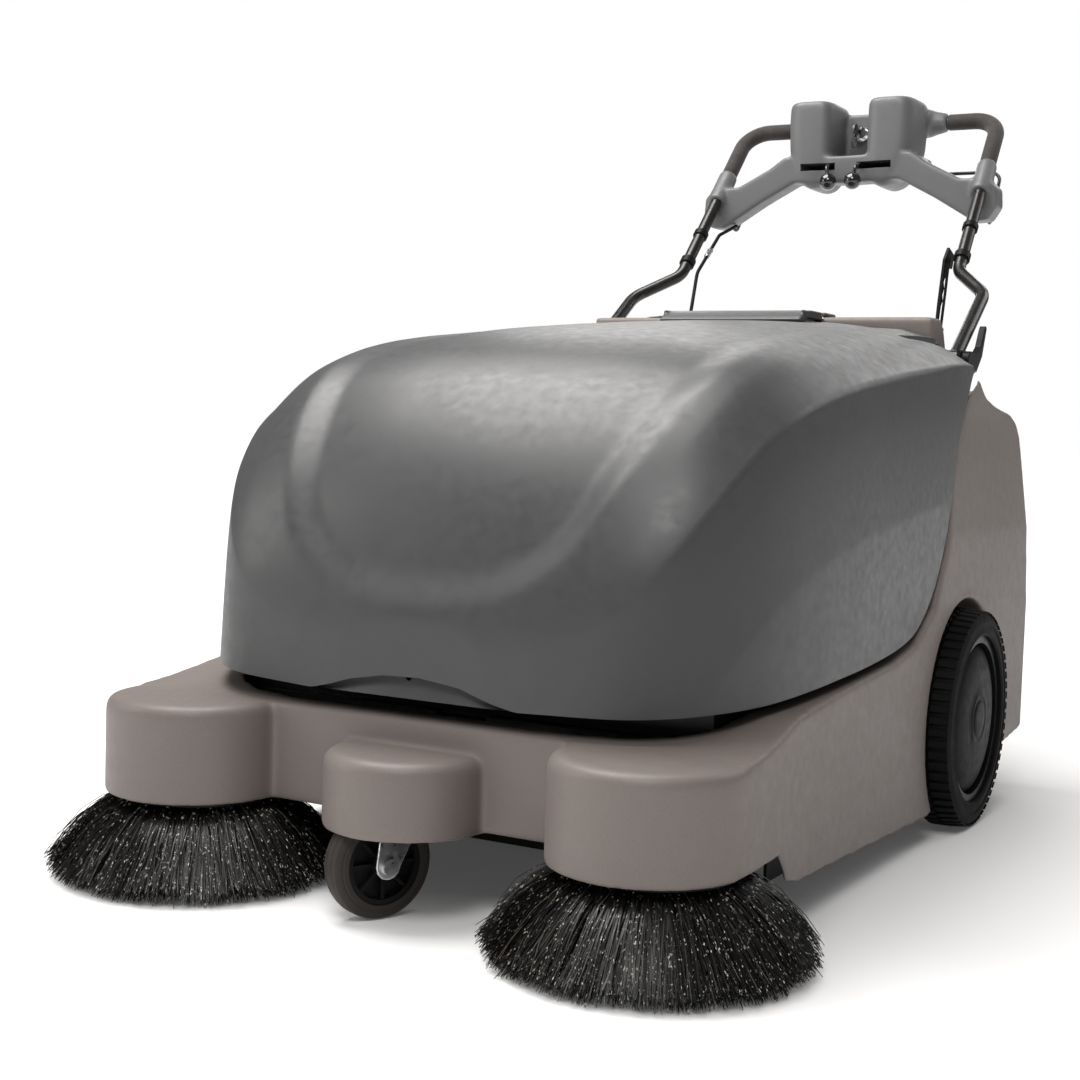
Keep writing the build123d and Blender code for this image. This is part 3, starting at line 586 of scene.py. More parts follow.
def hood_skin():
    ribs = []
    ys = list(np.linspace(112, -450, 96))
    for y in ys:
        ribs.append((0.0, y, 1.0, 0.0))
    for t in np.linspace(0, 180, 241)[1:-1]:
        ribs.append((0.0, -450.0, math.cos(math.radians(t)), -math.sin(math.radians(t))))
    for y in reversed(ys):
        ribs.append((0.0, y, -1.0, 0.0))
    ribs = np.array(ribs)
    nr, nv = len(ribs), 118
    zb = 170.0
    pts = np.zeros((nr, nv, 3))
    # lower edge: distance out at the edge height
    def solve(o, d):
        lo = np.zeros(len(o))
        hi = np.full(len(o), 900.0)
        for _ in range(34):
            mid = (lo + hi) / 2
            p = o + d * mid[:, None]
            ins = p[:, 2] < top_z(p[:, 0], p[:, 1])
            lo = np.where(ins, mid, lo)
            hi = np.where(ins, hi, mid)
        return o + d * lo[:, None]
    o0 = np.stack([ribs[:, 0], ribs[:, 1], np.full(nr, 250.0)], 1)
    dh = np.stack([ribs[:, 2], ribs[:, 3], np.zeros(nr)], 1)
    e = solve(o0, dh)
    for _ in range(4):
        ez = edge_z(e[:, 1]) + grip_rise(e[:, 0], e[:, 1])
        o1 = o0.copy()
        o1[:, 2] = ez
        e = solve(o1, dh)
    pts[:, 0] = e
    c = np.stack([ribs[:, 0], ribs[:, 1], np.full(nr, zb)], 1)
    rr = np.hypot(e[:, 0] - c[:, 0], e[:, 1] - c[:, 1])
    a0 = np.arctan2(e[:, 2] - zb, rr)
    # a mesh row follows the shoulder crease, so that the edge is clean
    phs = np.linspace(0.02, 1.0, 150)
    ratio = np.zeros((150, nr))
    for q, u in enumerate(phs):
        a = a0 + (math.pi / 2 - a0) * u
        d = np.stack([np.cos(a) * ribs[:, 2], np.cos(a) * ribs[:, 3], np.sin(a)], 1)
        p = solve(c, d)
        ratio[q] = np.abs(p[:, 0]) / half_w(p[:, 1])
    uk = np.full(nr, np.nan)
    for i in range(nr):
        w_ = np.where((ratio[:-1, i] >= 0.958) & (ratio[1:, i] < 0.958))[0]
        if len(w_):
            uk[i] = w_[-1]
    ok = ~np.isnan(uk)
    qs = np.where(ok, uk, 0).astype(int)
    ua, ub = phs[qs], phs[np.minimum(qs + 1, 149)]
    for _ in range(26):
        um = (ua + ub) / 2
        a = a0 + (math.pi / 2 - a0) * um
        d = np.stack([np.cos(a) * ribs[:, 2], np.cos(a) * ribs[:, 3], np.sin(a)], 1)
        p = solve(c, d)
        far = np.abs(p[:, 0]) / half_w(p[:, 1]) >= 0.958
        ua, ub = np.where(far, um, ua), np.where(far, ub, um)
    uk = np.where(ok, (ua + ub) / 2, np.nan)
    uk = np.interp(np.arange(nr), np.arange(nr)[ok], uk[ok])
    kr = 62
    for k in range(1, nv):
        u = np.where(k <= kr, uk * k / kr, uk + (1 - uk) * (k - kr) / (nv - 1 - kr))
        a = a0 + (math.pi / 2 - a0) * u
        d = np.stack([np.cos(a) * ribs[:, 2], np.cos(a) * ribs[:, 3], np.sin(a)], 1)
        if k == nv - 1:
            d = np.tile(np.array([0, 0, 1.0]), (nr, 1))
        pts[:, k] = solve(c, d)
    return pts


def grid_normals(p):
    du = np.gradient(p, axis=0)
    dv = np.gradient(p, axis=1)
    n = np.cross(dv, du)
    l = np.linalg.norm(n, axis=2, keepdims=True)
    l[l < 1e-9] = 1
    n = n / l
    return n


sk = hood_skin()
nr, nv = sk.shape[:2]
nn = grid_normals(sk)
# outward direction check on the top middle
if nn[20, nv // 2, 0] < 0:
    nn = -nn
nn[:, -1] = (0, 0, 1)
fl = sk.reshape(-1, 3)
dep = band_depth(fl[:, 0], fl[:, 1], fl[:, 2]).reshape(nr, nv)
for _ in range(1):
    dep[1:-1, 1:-1] = (dep[1:-1, 1:-1] * 2 + dep[:-2, 1:-1] + dep[2:, 1:-1] + dep[1:-1, :-2] + dep[1:-1, 2:]) / 6
sk2 = sk - nn * dep[:, :, None]
# rolled lower lip: last few millimetres turn in
sk2[:, 0] = sk2[:, 0] - nn[:, 0] * 2.0
vs = [P(*v) for v in sk2.reshape(-1, 3)]
fs = []
for i in range(nr - 1):
    for k in range(nv - 1):
        fs.append((i * nv + k, i * nv + k + 1, (i + 1) * nv + k + 1, (i + 1) * nv + k))
# bottom and rear caps make it a closed volume for the cuts
cap_front = [i * nv for i in range(nr)]
half = nr // 2
for i in range(half):
    a, b = i, nr - 1 - i
    if b - a > 1:
        fs.append((a * nv, (a + 1) * nv, (b - 1) * nv, b * nv) if b - a > 2 else (a * nv, (a + 1) * nv, b * nv))
rear = [k for k in range(nv)] + [(nr - 1) * nv + k for k in range(nv - 1, -1, -1)]
fs.append(tuple(rear))
hood = add_mesh("hood_skin", vs, fs, "hood_plastic", None, True)
bm = bmesh.new()
bm.from_mesh(hood.data)
bmesh.ops.remove_doubles(bm, verts=bm.verts, dist=2e-5)
bmesh.ops.recalc_face_normals(bm, faces=bm.faces)
bm.to_mesh(hood.data)
bm.free()


def cutter(poly, z0, z1):
    """Closed prism over a plan polygon, mm."""
    vs = [P(x, y, z0) for x, y in poly] + [P(x, y, z1) for x, y in poly]
    n = len(poly)
    fs = [tuple(range(n))[::-1], tuple(range(n, 2 * n))] + [(i, (i + 1) % n, n + (i + 1) % n, n + i) for i in range(n)]
    me = bpy.data.meshes.new("cut")
    me.from_pydata([tuple(v) for v in vs], [], fs)
    bm = bmesh.new()
    bm.from_mesh(me)
    bmesh.ops.recalc_face_normals(bm, faces=bm.faces)
    bm.to_mesh(me)
    bm.free()
    o = bpy.data.objects.new("cut", me)
    col.objects.link(o)
    return o


def cut(obj, cutters):
    for c in cutters:
        m = obj.modifiers.new("b", "BOOLEAN")
        m.operation = "DIFFERENCE"
        m.solver = "EXACT"
        m.object = c
    bake(obj)
    for c in cutters:
        bpy.data.objects.remove(c)


pk = [(283, -60), (297, -60), (318, 60), (343, 112), (352, 130), (283, 130)]
cut(hood, [cutter(pk, 600, 900), cutter([(-x, y) for x, y in pk], 600, 900),
           cutter([(-118, 38), (118, 38), (118, 150), (-118, 150)], 560, 900)])
# open the underside and the rear face, then give the skin its wall thickness
bm = bmesh.new()
bm.from_mesh(hood.data)
kill = []
for f in bm.faces:
    c = f.calc_center_median()
    y = c.y * 1000 - AY
    wide = max(v.co.x for v in f.verts) - min(v.co.x for v in f.verts) > 0.015 and y < -735 and c.z < 0.275
    if wide or (f.normal.z < -0.05 and c.z * 1000 <= edge_z(y) + 12 + (27 if y < -735 else 0)) or (f.normal.y > 0.9 and y > 110):
        kill.append(f)
bmesh.ops.delete(bm, geom=kill, context="FACES")
bm.to_mesh(hood.data)
bm.free()
so = hood.modifiers.new("t", "SOLIDIFY")
so.thickness = 0.0045
so.offset = -1.0
bake(hood)
hood.data.polygons.foreach_set("use_smooth", [True] * len(hood.data.polygons))
hood.data.set_sharp_from_angle(angle=math.radians(62))
hood.data.materials.clear()
hood.data.materials.append(MATS["hood_plastic"])
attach(hood, "hood_body")
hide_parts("hood")

# set-back wall inside the finger recess, following the arched lower edge
front = [tuple(v) for v in sk[:, 0] if v[1] < -770 and -133 < v[0] < 135]
front.sort()
vs, fs = [], []
for (x, y, z) in front:
    rise = max(z - 232.5, 0.5)
    for (dy, zz) in ((2.4, z + 5.0), (11.5, z + 2.5), (11.0, z - rise * 0.15), (8.0, z - rise * 0.5), (4.5, 234.0), (9.5, 233.2), (17.0, z + 5.0)):
        vs.append(P(x, y + dy, zz))
nrw = 7
for i in range(len(front) - 1):
    for k in range(nrw):
        l = (k + 1) % nrw
        fs.append((i * nrw + k, (i + 1) * nrw + k, (i + 1) * nrw + l, i * nrw + l))
fs.append(tuple(range(nrw)))
fs.append(tuple(range((len(front) - 1) * nrw, len(front) * nrw))[::-1])
grip = add_mesh("hood_finger_grip", vs, fs, "hood_plastic", "hood_body", True, 60)
bm = bmesh.new()
bm.from_mesh(grip.data)
bmesh.ops.recalc_face_normals(bm, faces=bm.faces)
bm.to_mesh(grip.data)
bm.free()

# hinge straps of the hood, with rolled eyes round the pin
for i, x in enumerate((-90, -30, 30, 90)):
    vs, fs = [], []
    prof = [(6, 690), (30, 690.5), (60, 691.5), (96, 692), (104, 693), (108.8, 698), (109.4, 702.4)]
    eye = [(113.6 + 4.2 * math.cos(a), 702.4 + 4.2 * math.sin(a)) for a in [math.pi + k * -0.42 for k in range(0, 14)]]
    line = prof + eye
    for j, (y, z) in enumerate(line):
        a, b = line[max(j - 1, 0)], line[min(j + 1, len(line) - 1)]
        tx, tz = b[0] - a[0], b[1] - a[1]
        l = math.hypot(tx, tz)
        nx, nz = -tz / l * 1.0, tx / l * 1.0
        if j >= len(prof):
            nx, nz = (y - 113.6) / 4.2 * -1.4, (z - 702.4) / 4.2 * -1.4
            o1, o2 = (0, 0), (nx, nz)
        else:
            o1, o2 = (nx, nz), (-nx, -nz)
        for xx in (x - 8.6, x + 8.6):
            vs.append(P(xx, y + o1[0], z + o1[1]))
            vs.append(P(xx, y + o2[0], z + o2[1]))
    for j in range(len(line) - 1):
        b = 4 * j
        for (p, q) in ((0, 1), (1, 3), (3, 2), (2, 0)):
            fs.append((b + p, b + q, b + 4 + q, b + 4 + p))
    fs += [(0, 1, 3, 2), tuple(4 * (len(line) - 1) + k for k in (2, 3, 1, 0))]
    st = add_mesh("hood_strap_%d" % (i + 1), vs, fs, "steel", "hood_body", True, 40)
    bm = bmesh.new()
    bm.from_mesh(st.data)
    bmesh.ops.recalc_face_normals(bm, faces=bm.faces)
    bm.to_mesh(st.data)
    bm.free()

# ------------------------------------------------------------------ moulded body and console
def block(bm_, x0, x1, y0, y1, z0, z1):
    """Adds a closed block to a bmesh, mm."""
    v = [bm_.verts.new(P(x, y, z)) for x in (x0, x1) for y in (y0, y1) for z in (z0, z1)]
    for f in ((0, 1, 3, 2), (4, 6, 7, 5), (0, 4, 5, 1), (2, 3, 7, 6), (0, 2, 6, 4), (1, 5, 7, 3)):
        bm_.faces.new([v[i] for i in f])


shell_obj = soften("body_shell", 0.0026, 34, "body_shell_moulded")

# console: arched crossbar with two rounded lobes that blend into it, made as one moulding
def prism_y(bm_, poly, y0, y1):
    n = len(poly)
    v = [bm_.verts.new(P(x, y, z)) for y in (y0, y1) for x, z in poly]
    bm_.faces.new(v[:n][::-1])
    bm_.faces.new(v[n:])
    for i in range(n):
        j = (i + 1) % n
        bm_.faces.new((v[i], v[j], v[n + j], v[n + i]))


def round_bar(bm_, a, b, ra, rb, n=32):
    a, b = Vector(a), Vector(b)
    t = (b - a).normalized()
    u = t.cross(Vector((0, 1, 0)) if abs(t.y) < 0.9 else Vector((1, 0, 0))).normalized()
    w = t.cross(u)
    rows = []
    for p, r in ((a, ra), (b, rb)):
        rows.append([bm_.verts.new(P(*(p + (u * math.cos(2 * math.pi * k / n) + w * math.sin(2 * math.pi * k / n)) * r))) for k in range(n)])
    bm_.faces.new(rows[0][::-1])
    bm_.faces.new(rows[1])
    for k in range(n):
        l = (k + 1) % n
        bm_.faces.new((rows[0][k], rows[0][l], rows[1][l], rows[1][k]))


def lobe_form(bm_, s):
    """Upright lobe: flat top, round corners in plan, bulb-shaped foot."""
    rows = []
    for z, gi, go, gf, gb in ((951, 26, 46, 16, 30), (956, 15, 33, 9, 20), (965, 8, 23, 3.5, 12), (980, 3, 13, 0.5, 6), (998, 0.5, 6, 0, 2),
                              (1020, 0, 2, 0, 0), (1060, 0, 0, 0, 0), (1088, 0, 0.5, 0, 0.5), (1095, 1.5, 2, 1.5, 2), (1098.6, 5, 6, 5, 6)):
        x0, x1, y0, y1 = 29.5 + gi, 112.5 - go, 482 + gf, 603 - gb
        cx, cy, hx, hy = (x0 + x1) / 2, (y0 + y1) / 2, (x1 - x0) / 2, (y1 - y0) / 2
        row = []
        for k in range(72):
            t = 2 * math.pi * k / 72
            ct, st = math.cos(t), math.sin(t)
            ex = 2.0 / (4.2 if cx + hx * ct < cx else 3.4)
            row.append(bm_.verts.new(P(s * (cx + hx * math.copysign(abs(ct) ** ex, ct)), cy + hy * math.copysign(abs(st) ** ex, st), z)))
        rows.append(row)
    bm_.faces.new(rows[0])
    bm_.faces.new(rows[-1][::-1])
    for r0, r1 in zip(rows[:-1], rows[1:]):
        for k in range(72):
            l = (k + 1) % 72
            bm_.faces.new((r0[k], r0[l], r1[l], r1[k]))


me = bpy.data.meshes.new("console_form")
bm = bmesh.new()
ah = [(0, 957), (92, 961), (154, 928), (222, 886.5), (246, 888), (260, 910), (259, 940),
      (242, 956), (196, 958), (138, 988), (112, 1006), (0, 1004)]
prism_y(bm, ah + [(-x, z) for x, z in reversed(ah[1:-1])], 486.2, 529.8)
for s in (1, -1):
    lobe_form(bm, s)
    round_bar(bm, (s * 98, 601, 1068.9), (s * 140, 601, 1068.9), 25, 15.5)
    round_bar(bm, (s * 60, 598, 1068.9), (s * 112, 600, 1068.9), 24, 24)
    round_bar(bm, (s * 233.6, 481, 931), (s * 231.4, 526, 983), 16.5, 16.5)
    block(bm, min(s * 237, s * 245), max(s * 237, s * 245), 526, 550, 896, 914)
    block(bm, min(s * 84, s * 128), max(s * 84, s * 128), 500, 560, 970, 1000)
block(bm, -40, 40, 566, 598, 985, 1086)
block(bm, -62, 62, 497, 568, 976, 1001)
bmesh.ops.recalc_face_normals(bm, faces=bm.faces)
bm.to_mesh(me)
bm.free()
con_obj = bpy.data.objects.new("console_moulded", me)
col.objects.link(con_obj)
r = con_obj.modifiers.new("r", "REMESH")
r.mode = "VOXEL"
r.voxel_size = 0.0022
m_ = con_obj.modifiers.new("s", "SMOOTH")
m_.factor = 0.5
m_.iterations = 30
bake(con_obj)
cs = []
for s in (1, -1):
    x0, x1 = sorted((s * 19, s * 80))
    cs.append(cutter([(x0, 470), (x1, 470), (x1, 560), (x0, 560)], 980, 992))
cut(con_obj, cs)
con_obj.data.polygons.foreach_set("use_smooth", [True] * len(con_obj.data.polygons))
con_obj.data.set_sharp_from_angle(angle=math.radians(50))
con_obj.data.materials.clear()
con_obj.data.materials.append(MATS["console_plastic"])
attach(con_obj, "handle")
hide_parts("console")
panel_obj = soften("rear_panel", 0.0016, 10, "rear_panel_moulded")
me = bpy.data.meshes.new("hood_rear_flap")
bm = bmesh.new()
prof = [(16, 696), (24, 702), (36, 707.5), (50, 710.8), (66, 712), (107, 712), (107, 706.4), (52, 706.4), (37.5, 692), (18, 692)]
n = len(prof)
v = [bm.verts.new(P(x, y, z)) for x in (-112, 112) for y, z in prof]
bm.faces.new(v[:n])
bm.faces.new(v[n:][::-1])
for i in range(n):
    j = (i + 1) % n
    bm.faces.new((v[j], v[i], v[n + i], v[n + j]))
for s in (1, -1):
    block(bm, min(s * 107, s * 112), max(s * 107, s * 112), 31, 107, 699, 711)
bmesh.ops.recalc_face_normals(bm, faces=bm.faces)
bm.to_mesh(me)
bm.free()
flap_obj = bpy.data.objects.new("hood_rear_flap", me)
col.objects.link(flap_obj)
r = flap_obj.modifiers.new("r", "REMESH")
r.mode = "VOXEL"
r.voxel_size = 0.0014
m_ = flap_obj.modifiers.new("s", "SMOOTH")
m_.factor = 0.5
m_.iterations = 12
bake(flap_obj)
flap_obj.data.polygons.foreach_set("use_smooth", [True] * len(flap_obj.data.polygons))
flap_obj.data.materials.clear()
flap_obj.data.materials.append(MATS["hood_plastic"])
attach(flap_obj, "hood_body")
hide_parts("hood")
for nm in ("cam_lever_left", "cam_lever_right"):
    soften(nm, 0.0009, 4, nm + "_moulded")
soften("caster_fork", 0.0009, 3, "caster_fork_pressed")


# ------------------------------------------------------------------ round tubes and wires
def tube(name, pts, r, slot, body, n=16, fill_ends=True):
    """Round bar through points given in metres."""
    pts = [Vector(p) for p in pts]
    tan = [(pts[min(i + 1, len(pts) - 1)] - pts[max(i - 1, 0)]).normalized() for i in range(len(pts))]
    ref = Vector((0, 0, 1)) if abs(tan[0].z) < 0.9 else Vector((1, 0, 0))
    u = tan[0].cross(ref).normalized()
    vs, fs = [], []
    for i, p in enumerate(pts):
        u = (u - tan[i] * u.dot(tan[i])).normalized()
        v = tan[i].cross(u)
        rr = r[i] if isinstance(r, (list, tuple)) else r
        for k in range(n):
            a = 2 * math.pi * k / n
            vs.append(p + (u * math.cos(a) + v * math.sin(a)) * rr)
    for i in range(len(pts) - 1):
        for k in range(n):
            l = (k + 1) % n
            fs.append((i * n + k, i * n + l, (i + 1) * n + l, (i + 1) * n + k))
    if fill_ends:
        fs.append(tuple(range(n))[::-1])
        fs.append(tuple(range((len(pts) - 1) * n, len(pts) * n)))
    return add_mesh(name, vs, fs, slot, body, True, 50)


def rounded(pts, radii, n=10):
    """Points of a path with rounded corners, mm in, metres out."""
    pts = [Vector(p) for p in pts]
    out = [pts[0]]
    for i in range(1, len(pts) - 1):
        a, p, b = pts[i - 1], pts[i], pts[i + 1]
        u, v = (a - p).normalized(), (b - p).normalized()
        half = u.angle(v) / 2
        d = radii[i - 1] / math.tan(half)
        t1, t2 = p + u * d, p + v * d
        c = p + (u + v).normalized() * (radii[i - 1] / math.sin(half))
        r1, r2 = t1 - c, t2 - c
        ang = r1.angle(r2)
        for k in range(n + 1):
            t = k / n
            w1, w2 = math.sin((1 - t) * ang) / math.sin(ang), math.sin(t * ang) / math.sin(ang)
            out.append(c + r1 * w1 + r2 * w2)
    out.append(pts[-1])
    return [P(*p) for p in out]


knee, joint = Vector((298.3, 300.2, 752.6)), Vector((238.3, 382.2, 819.0))
corner = Vector((227.8, 601.0, 1068.9))
dirn = (corner - joint).normalized()


def mx(p):
    return Vector((-p[0], p[1], p[2]))


dn = joint - dirn * 34
low = [Vector((300, 153, 647.5)), knee, dn, joint]
for side, f in (("left", lambda p: Vector(p)), ("right", mx)):
    t = tube("lower_tube_" + side, rounded([f(p) for p in low], [52, 40]), 0.010, "black_tube", "handle", 32)
    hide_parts("lower_tubes")
    # flattened eye round the clamp bolt
    cx = f((300, 147, 643))
    e = lathe("lower_tube_eye_" + side, [(0.0053, -0.0095), (0.0145, -0.0095), (0.0165, -0.0085), (0.0168, -0.004), (0.0168, 0.004), (0.0165, 0.0085), (0.0145, 0.0095), (0.0053, 0.0095)],
              P(*cx), (1, 0, 0), "black_tube", "handle", 64, True, 40)
    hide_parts("lower_tubes")
js = joint + dirn * 0.3
t = tube("upper_tube_bow", rounded([js, corner, mx(corner), mx(js)], [44, 44], 16), 0.010, "black_tube", "handle", 32)
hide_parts("upper_tube")
for side, f in (("left", lambda p: Vector(p)), ("right", mx)):
    path = rounded([f(joint + dirn * 200), f(corner), f((141.2, 601, 1068.9))], [44], 16)
    rr = [0.0125, ] + [0.0135] * (len(path) - 2) + [0.0125]
    a, b = path[0], path[1]
    path = [a, a + (b - a).normalized() * 0.0015] + path[1:-1] + [path[-1] + (path[-2] - path[-1]).normalized() * 0.0015, path[-1]]
    rr = [0.0122] + [0.0135] * (len(path) - 2) + [0.0122]
    g = tube("foam_grip_" + side, path, rr, "foam", "handle", 40)
    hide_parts("foam_grips")


# ------------------------------------------------------------------ bristles
def strands(name, roots, r, slot, body, segs=4, seed=1):
    """Many tapering three-sided bristles. roots = list of point lists in metres."""
    vs, fs = [], []
    for pts in roots:
        base = len(vs)
        m = len(pts)
        t = (pts[-1] - pts[0]).normalized()
        u = t.cross(Vector((0.31, 0.2, 0.93))).normalized()
        v = t.cross(u)
        for i, p in enumerate(pts):
            rr = r * (1.0 - 0.35 * i / (m - 1))
            for k in range(3):
                a = 2 * math.pi * k / 3
                vs.append(p + (u * math.cos(a) + v * math.sin(a)) * rr)
        for i in range(m - 1):
            for k in range(3):
                l = (k + 1) % 3
                fs.append((base + i * 3 + k, base + i * 3 + l, base + (i + 1) * 3 + l, base + (i + 1) * 3 + k))
        fs.append((base + 2, base + 1, base))
        e = base + (m - 1) * 3
        fs.append((e, e + 1, e + 2))
    return add_mesh(name, vs, fs, slot, body, True, 60)


def side_brush(side, node, body, seed):
    rng = random.Random(seed)
    lo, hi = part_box(node)
    cx, cy = (lo[0] + hi[0]) / 2, (lo[1] + hi[1]) / 2
    R = (hi[0] - lo[0]) / 2
    roots = []
    for ring, (r0, z0, reach) in enumerate([(0.088, 0.0935, 1.0), (0.080, 0.0935, 0.965), (0.072, 0.0935, 0.92), (0.064, 0.0935, 0.86)]):
        tufts = [54, 50, 44, 38][ring]
        for i in range(tufts):
            a0 = 2 * math.pi * (i + 0.5 * (ring % 2)) / tufts
            for _ in range(33):
                a = a0 + rng.gauss(0, 0.020)
                b = a0 + rng.gauss(0, 0.062)
                rr = min(R * reach * (0.945 + rng.gauss(0, 0.028)), R - 0.0015)
                zt = 0.0015 + abs(rng.gauss(0, 0.006)) + 0.010 * (ring == 0) + 0.006 * math.sin(5 * b + seed) ** 2 * (ring < 2)
                s = Vector((cx + (r0 + rng.uniform(-.003, .001)) * math.cos(a), cy + (r0 + rng.uniform(-.003, .001)) * math.sin(a), z0))
                e = Vector((cx + rr * math.cos(b), cy + rr * math.sin(b), zt))
                bow = 0.0015 + rng.gauss(0, 0.0045)
                pts = []
                for k in range(5):
                    t = k / 4
                    p = s.lerp(e, t)
                    out = Vector((math.cos(b), math.sin(b), 0.0))
                    h = 4 * t * (1 - t) * bow
                    q = p + out * (h * 0.75) + Vector((0, 0, h * 0.9))
                    d = math.hypot(q.x - cx, q.y - cy)
                    if d > R - 0.001:
                        q.x = cx + (q.x - cx) * (R - 0.001) / d
                        q.y = cy + (q.y - cy) * (R - 0.001) / d
                    pts.append(q)
                roots.append(pts)
    o = strands("side_bristles_" + side + "_strands", roots, 0.00062, "bristle", body)
    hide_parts(node)


side_brush("left", "side_bristles_left", body_of("side_bristles_left"), 11)
side_brush("right", "side_bristles_right", body_of("side_bristles_right"), 23)

rng = random.Random(5)
roots = []
my, mz = P(0, -350, 140).y, 0.140
for row in range(8):
    for i in range(120):
        x = -0.272 + 0.544 * i / 119
        ph = math.radians(row * 45) + 0.5 * math.sin(x * 9.0) * 0.0
        for _ in range(7):
            a = ph + rng.gauss(0, 0.05)
            c = ph + rng.gauss(0, 0.055)
            rr = 0.136 - abs(rng.gauss(0, 0.002))
            x0, x1 = x + rng.gauss(0, 0.001), max(-0.2755, min(0.2755, x + rng.gauss(0, 0.004)))
            s = Vector((x0, my + 0.0385 * math.sin(a), mz + 0.0385 * math.cos(a)))
            e = Vector((x1, my + rr * math.sin(c), mz + rr * math.cos(c)))
            roots.append([s, s.lerp(e, 0.5), e])
mb = strands("main_brush_strands", roots, 0.0008, "bristle", body_of("main_brush_bristles"))
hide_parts("main_brush_bristles")


# ------------------------------------------------------------------ wheels
def rear_wheel(side, s):
    body = "rear_wheels"
    ax = (s, 0, 0)
    c = P(0, 0, 150)
    x = lambda v: v / 1000.0
    prof = [(114.2, 353), (121, 352.3), (128, 353.2), (138, 352.6), (144.2, 355.5), (145.6, 360), (145.8, 378), (145.6, 397),
            (144.0, 401.2), (137, 403.4), (134.5, 404.1), (131.5, 404.2), (130, 402.9), (122, 403.3), (118.2, 404.3), (114.2, 402.5)]
    prof = [(x(r), x(h)) for r, h in prof]
    t = lathe("tyre_" + side + "_body", prof, c, ax, "tyre_black", body, 160, True, 34)
    # tread blocks: outer and inner shoulders staggered, with chamfered edges
    vs, fs = [], []
    n = 60
    for i in range(n):
        for (h0, h1, off) in ((376, 403.2, 0.0), (354.0, 374, 0.5)):
            a0 = 2 * math.pi * (i + off) / n
            da = 2 * math.pi / n * 0.33
            ring = []
            for (r, k, e) in ((144.6, 1.0, 0.0), (148.8, 0.96, 0.4), (150.0, 0.80, 1.6)):
                for (ss, hh) in ((-1, h0 + e), (1, h0 + e), (1, h1 - e), (-1, h1 - e)):
                    rr = r - (2.6 if abs(hh - 403.2) < 2.2 and r > 146 else 0.0)
                    a = a0 + ss * da * k
                    ring.append(Vector((s * x(hh), c.y + x(rr) * math.sin(a), c.z + x(rr) * math.cos(a))))
            b = len(vs)
            vs += ring
            for l in range(2):
                for k in range(4):
                    m = (k + 1) % 4
                    fs.append((b + 4 * l + k, b + 4 * l + m, b + 4 * l + 4 + m, b + 4 * l + 4 + k))
            fs.append((b + 8, b + 9, b + 10, b + 11))
            fs.append((b + 3, b + 2, b + 1, b))
    lug = add_mesh("tyre_" + side + "_tread", vs, fs, "tyre_black", body, False)
    bm = bmesh.new()
    bm.from_mesh(lug.data)
    bmesh.ops.recalc_face_normals(bm, faces=bm.faces)
    bm.to_mesh(lug.data)
    bm.free()
    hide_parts("tyre_" + side)
    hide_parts("tyre_" + side)
    # domed cover with a raised plain centre
    cp = [(0, 404.4), (12, 404.4), (22, 404.2), (24.5, 403.4), (26, 402.6), (30, 402.8), (33, 403.6), (35, 402.6), (48, 402.2), (66, 401.0),
          (82, 398.6), (94, 395.2), (100.5, 391.5), (103.2, 388.5), (103.8, 386.8), (99, 386.6), (60, 388), (20, 398.8), (0, 398.8)]
    cp = [(x(r), x(h)) for r, h in cp]
    o = lathe("hub_cap_" + side + "_dome", cp, c, ax, "black_plastic", body, 128, True, 50)
    o.data.materials[0] = CAP_BLACK
    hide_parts("hub_cap_" + side)


rear_wheel("left", 1)
rear_wheel("right", -1)


def ring_bolts(name, origin, axis, r, n, rad, h, slot, body):
    ax = Vector(axis).normalized()
    q = Vector((0, 0, 1)).rotation_difference(ax)
    vs, fs = [], []
    for i in range(n):
        a = 2 * math.pi * i / n
        c = Vector((r * math.cos(a), r * math.sin(a), 0))
        b = len(vs)
        for (rr, hh) in ((rad, 0.0), (rad, h * 0.7), (rad * 0.86, h)):
            for k in range(6):
                t = math.pi * k / 3
                vs.append(Vector(origin) + q @ (c + Vector((rr * math.cos(t), rr * math.sin(t), hh))))
        for l in range(2):
            for k in range(6):
                m = (k + 1) % 6
                fs.append((b + 6 * l + k, b + 6 * l + m, b + 6 * l + 6 + m, b + 6 * l + 6 + k))
        fs.append(tuple(b + 12 + k for k in range(6)))
        fs.append(tuple(b + 5 - k for k in range(6)))
    return add_mesh(name, vs, fs, slot, body, True, 30)


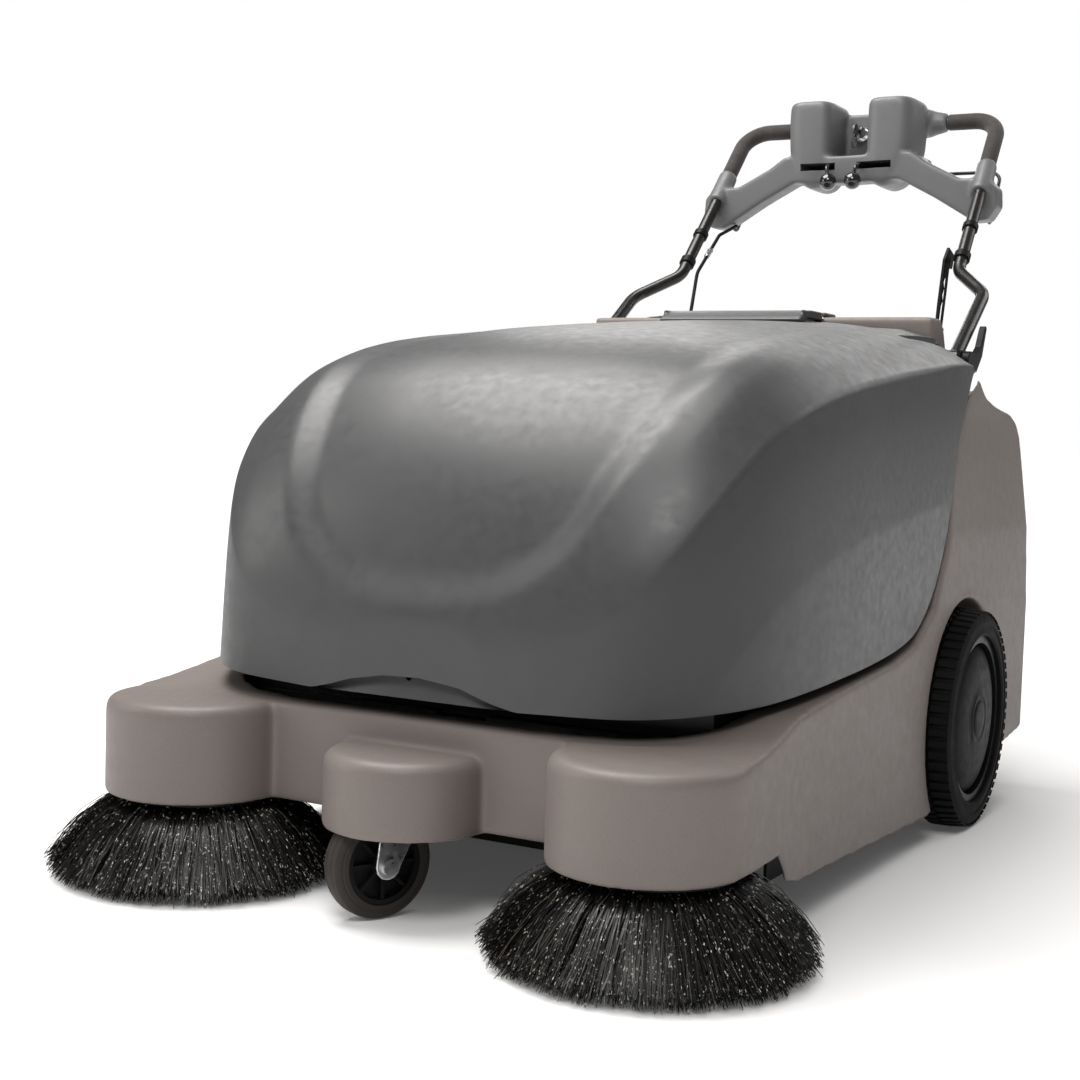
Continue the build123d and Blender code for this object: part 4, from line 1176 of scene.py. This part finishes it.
# caster wheel: turned 25 degrees from straight ahead
turn = math.radians(-25)
ca = Vector((math.cos(turn), math.sin(turn), 0))
lo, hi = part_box("caster_tyre")
cc = (Vector(lo) + Vector(hi)) / 2
lo2, hi2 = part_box("caster_tyre")
tw = 0.0
pts = np.array([v.co for v in NODES["caster_tyre"].data.vertices])
proj_ = (pts - np.array(cc)) @ np.array(ca)
tw = float(proj_.max())
rin = float(np.sqrt(np.maximum(((pts - np.array(cc)) ** 2).sum(1) - proj_ ** 2, 0)).min())
ro_ = 0.060
h = tw
prof = [(rin, -h), (ro_ - 0.013, -h), (ro_ - 0.0105, -h * 0.985), (ro_ - 0.0095, -h * 0.93), (ro_ - 0.008, -h * 0.94),
        (ro_ - 0.0045, -h * 0.88), (ro_ - 0.0015, -h * 0.72), (ro_ - 0.0003, -h * 0.45), (ro_ - 0.0001, -h * 0.36), (ro_ - 0.0012, -h * 0.33), (ro_ - 0.0001, -h * 0.30),
        (ro_, 0), (ro_ - 0.0001, h * 0.30), (ro_ - 0.0012, h * 0.33), (ro_ - 0.0001, h * 0.36), (ro_ - 0.0003, h * 0.45), (ro_ - 0.0015, h * 0.72),
        (ro_ - 0.0045, h * 0.88), (ro_ - 0.008, h * 0.94), (ro_ - 0.0095, h * 0.93), (ro_ - 0.0105, h * 0.985), (ro_ - 0.013, h), (rin, h)]
o = lathe("caster_tyre_tread", prof, cc, ca, "caster_rubber", "caster_roller", 96, True, 30)
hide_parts("caster_tyre")

# ------------------------------------------------------------------ cable and ferrule
cpts = [(-205, 508, 893), (-217, 462, 872), (-221.5, 385, 800), (-214, 352, 742), (-214, 320, 640), (-214, 304, 571.5)]
path = rounded(cpts, [18, 50, 60, 60], 8)
dense = []
for a, b in zip(path[:-1], path[1:]):
    n_ = max(1, int((b - a).length / 0.006))
    dense += [a.lerp(b, k / n_) for k in range(n_)]
dense.append(path[-1])
cab = tube("control_cable_sheath", dense, 0.0030, "black_plastic", None, 14)
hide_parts("control_cable")
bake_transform(cab)
fe = lathe("cable_ferrule", [(0.0031, -0.011), (0.0042, -0.011), (0.0048, -0.009), (0.0048, -0.003), (0.0040, -0.002), (0.0040, 0.004),
                             (0.0050, 0.005), (0.0050, 0.010), (0.0036, 0.0125), (0.0031, 0.0125)],
           P(-219.4, 424, 836.5), (0.02, 0.75, 0.66), "steel", "handle", 40, True, 40)

# screw heads with a cross recess on the shell and the other listed CAD nodes stay CAD nodes with bevels
for n in ("shell_screws", "caster_plate", "caster_axle", "clamp_brackets", "side_disc_left", "side_disc_right", "battery_left",
          "battery_right", "control_box", "brush_motor", "hopper", "battery_tray", "latch_lever", "key_switch"):
    m_ = NODES[n].modifiers.new("bevel", "BEVEL")
    m_.width = 0.0007
    m_.segments = 2
    m_.limit_method = "ANGLE"
    m_.angle_limit = math.radians(50)
    m_.harden_normals = False
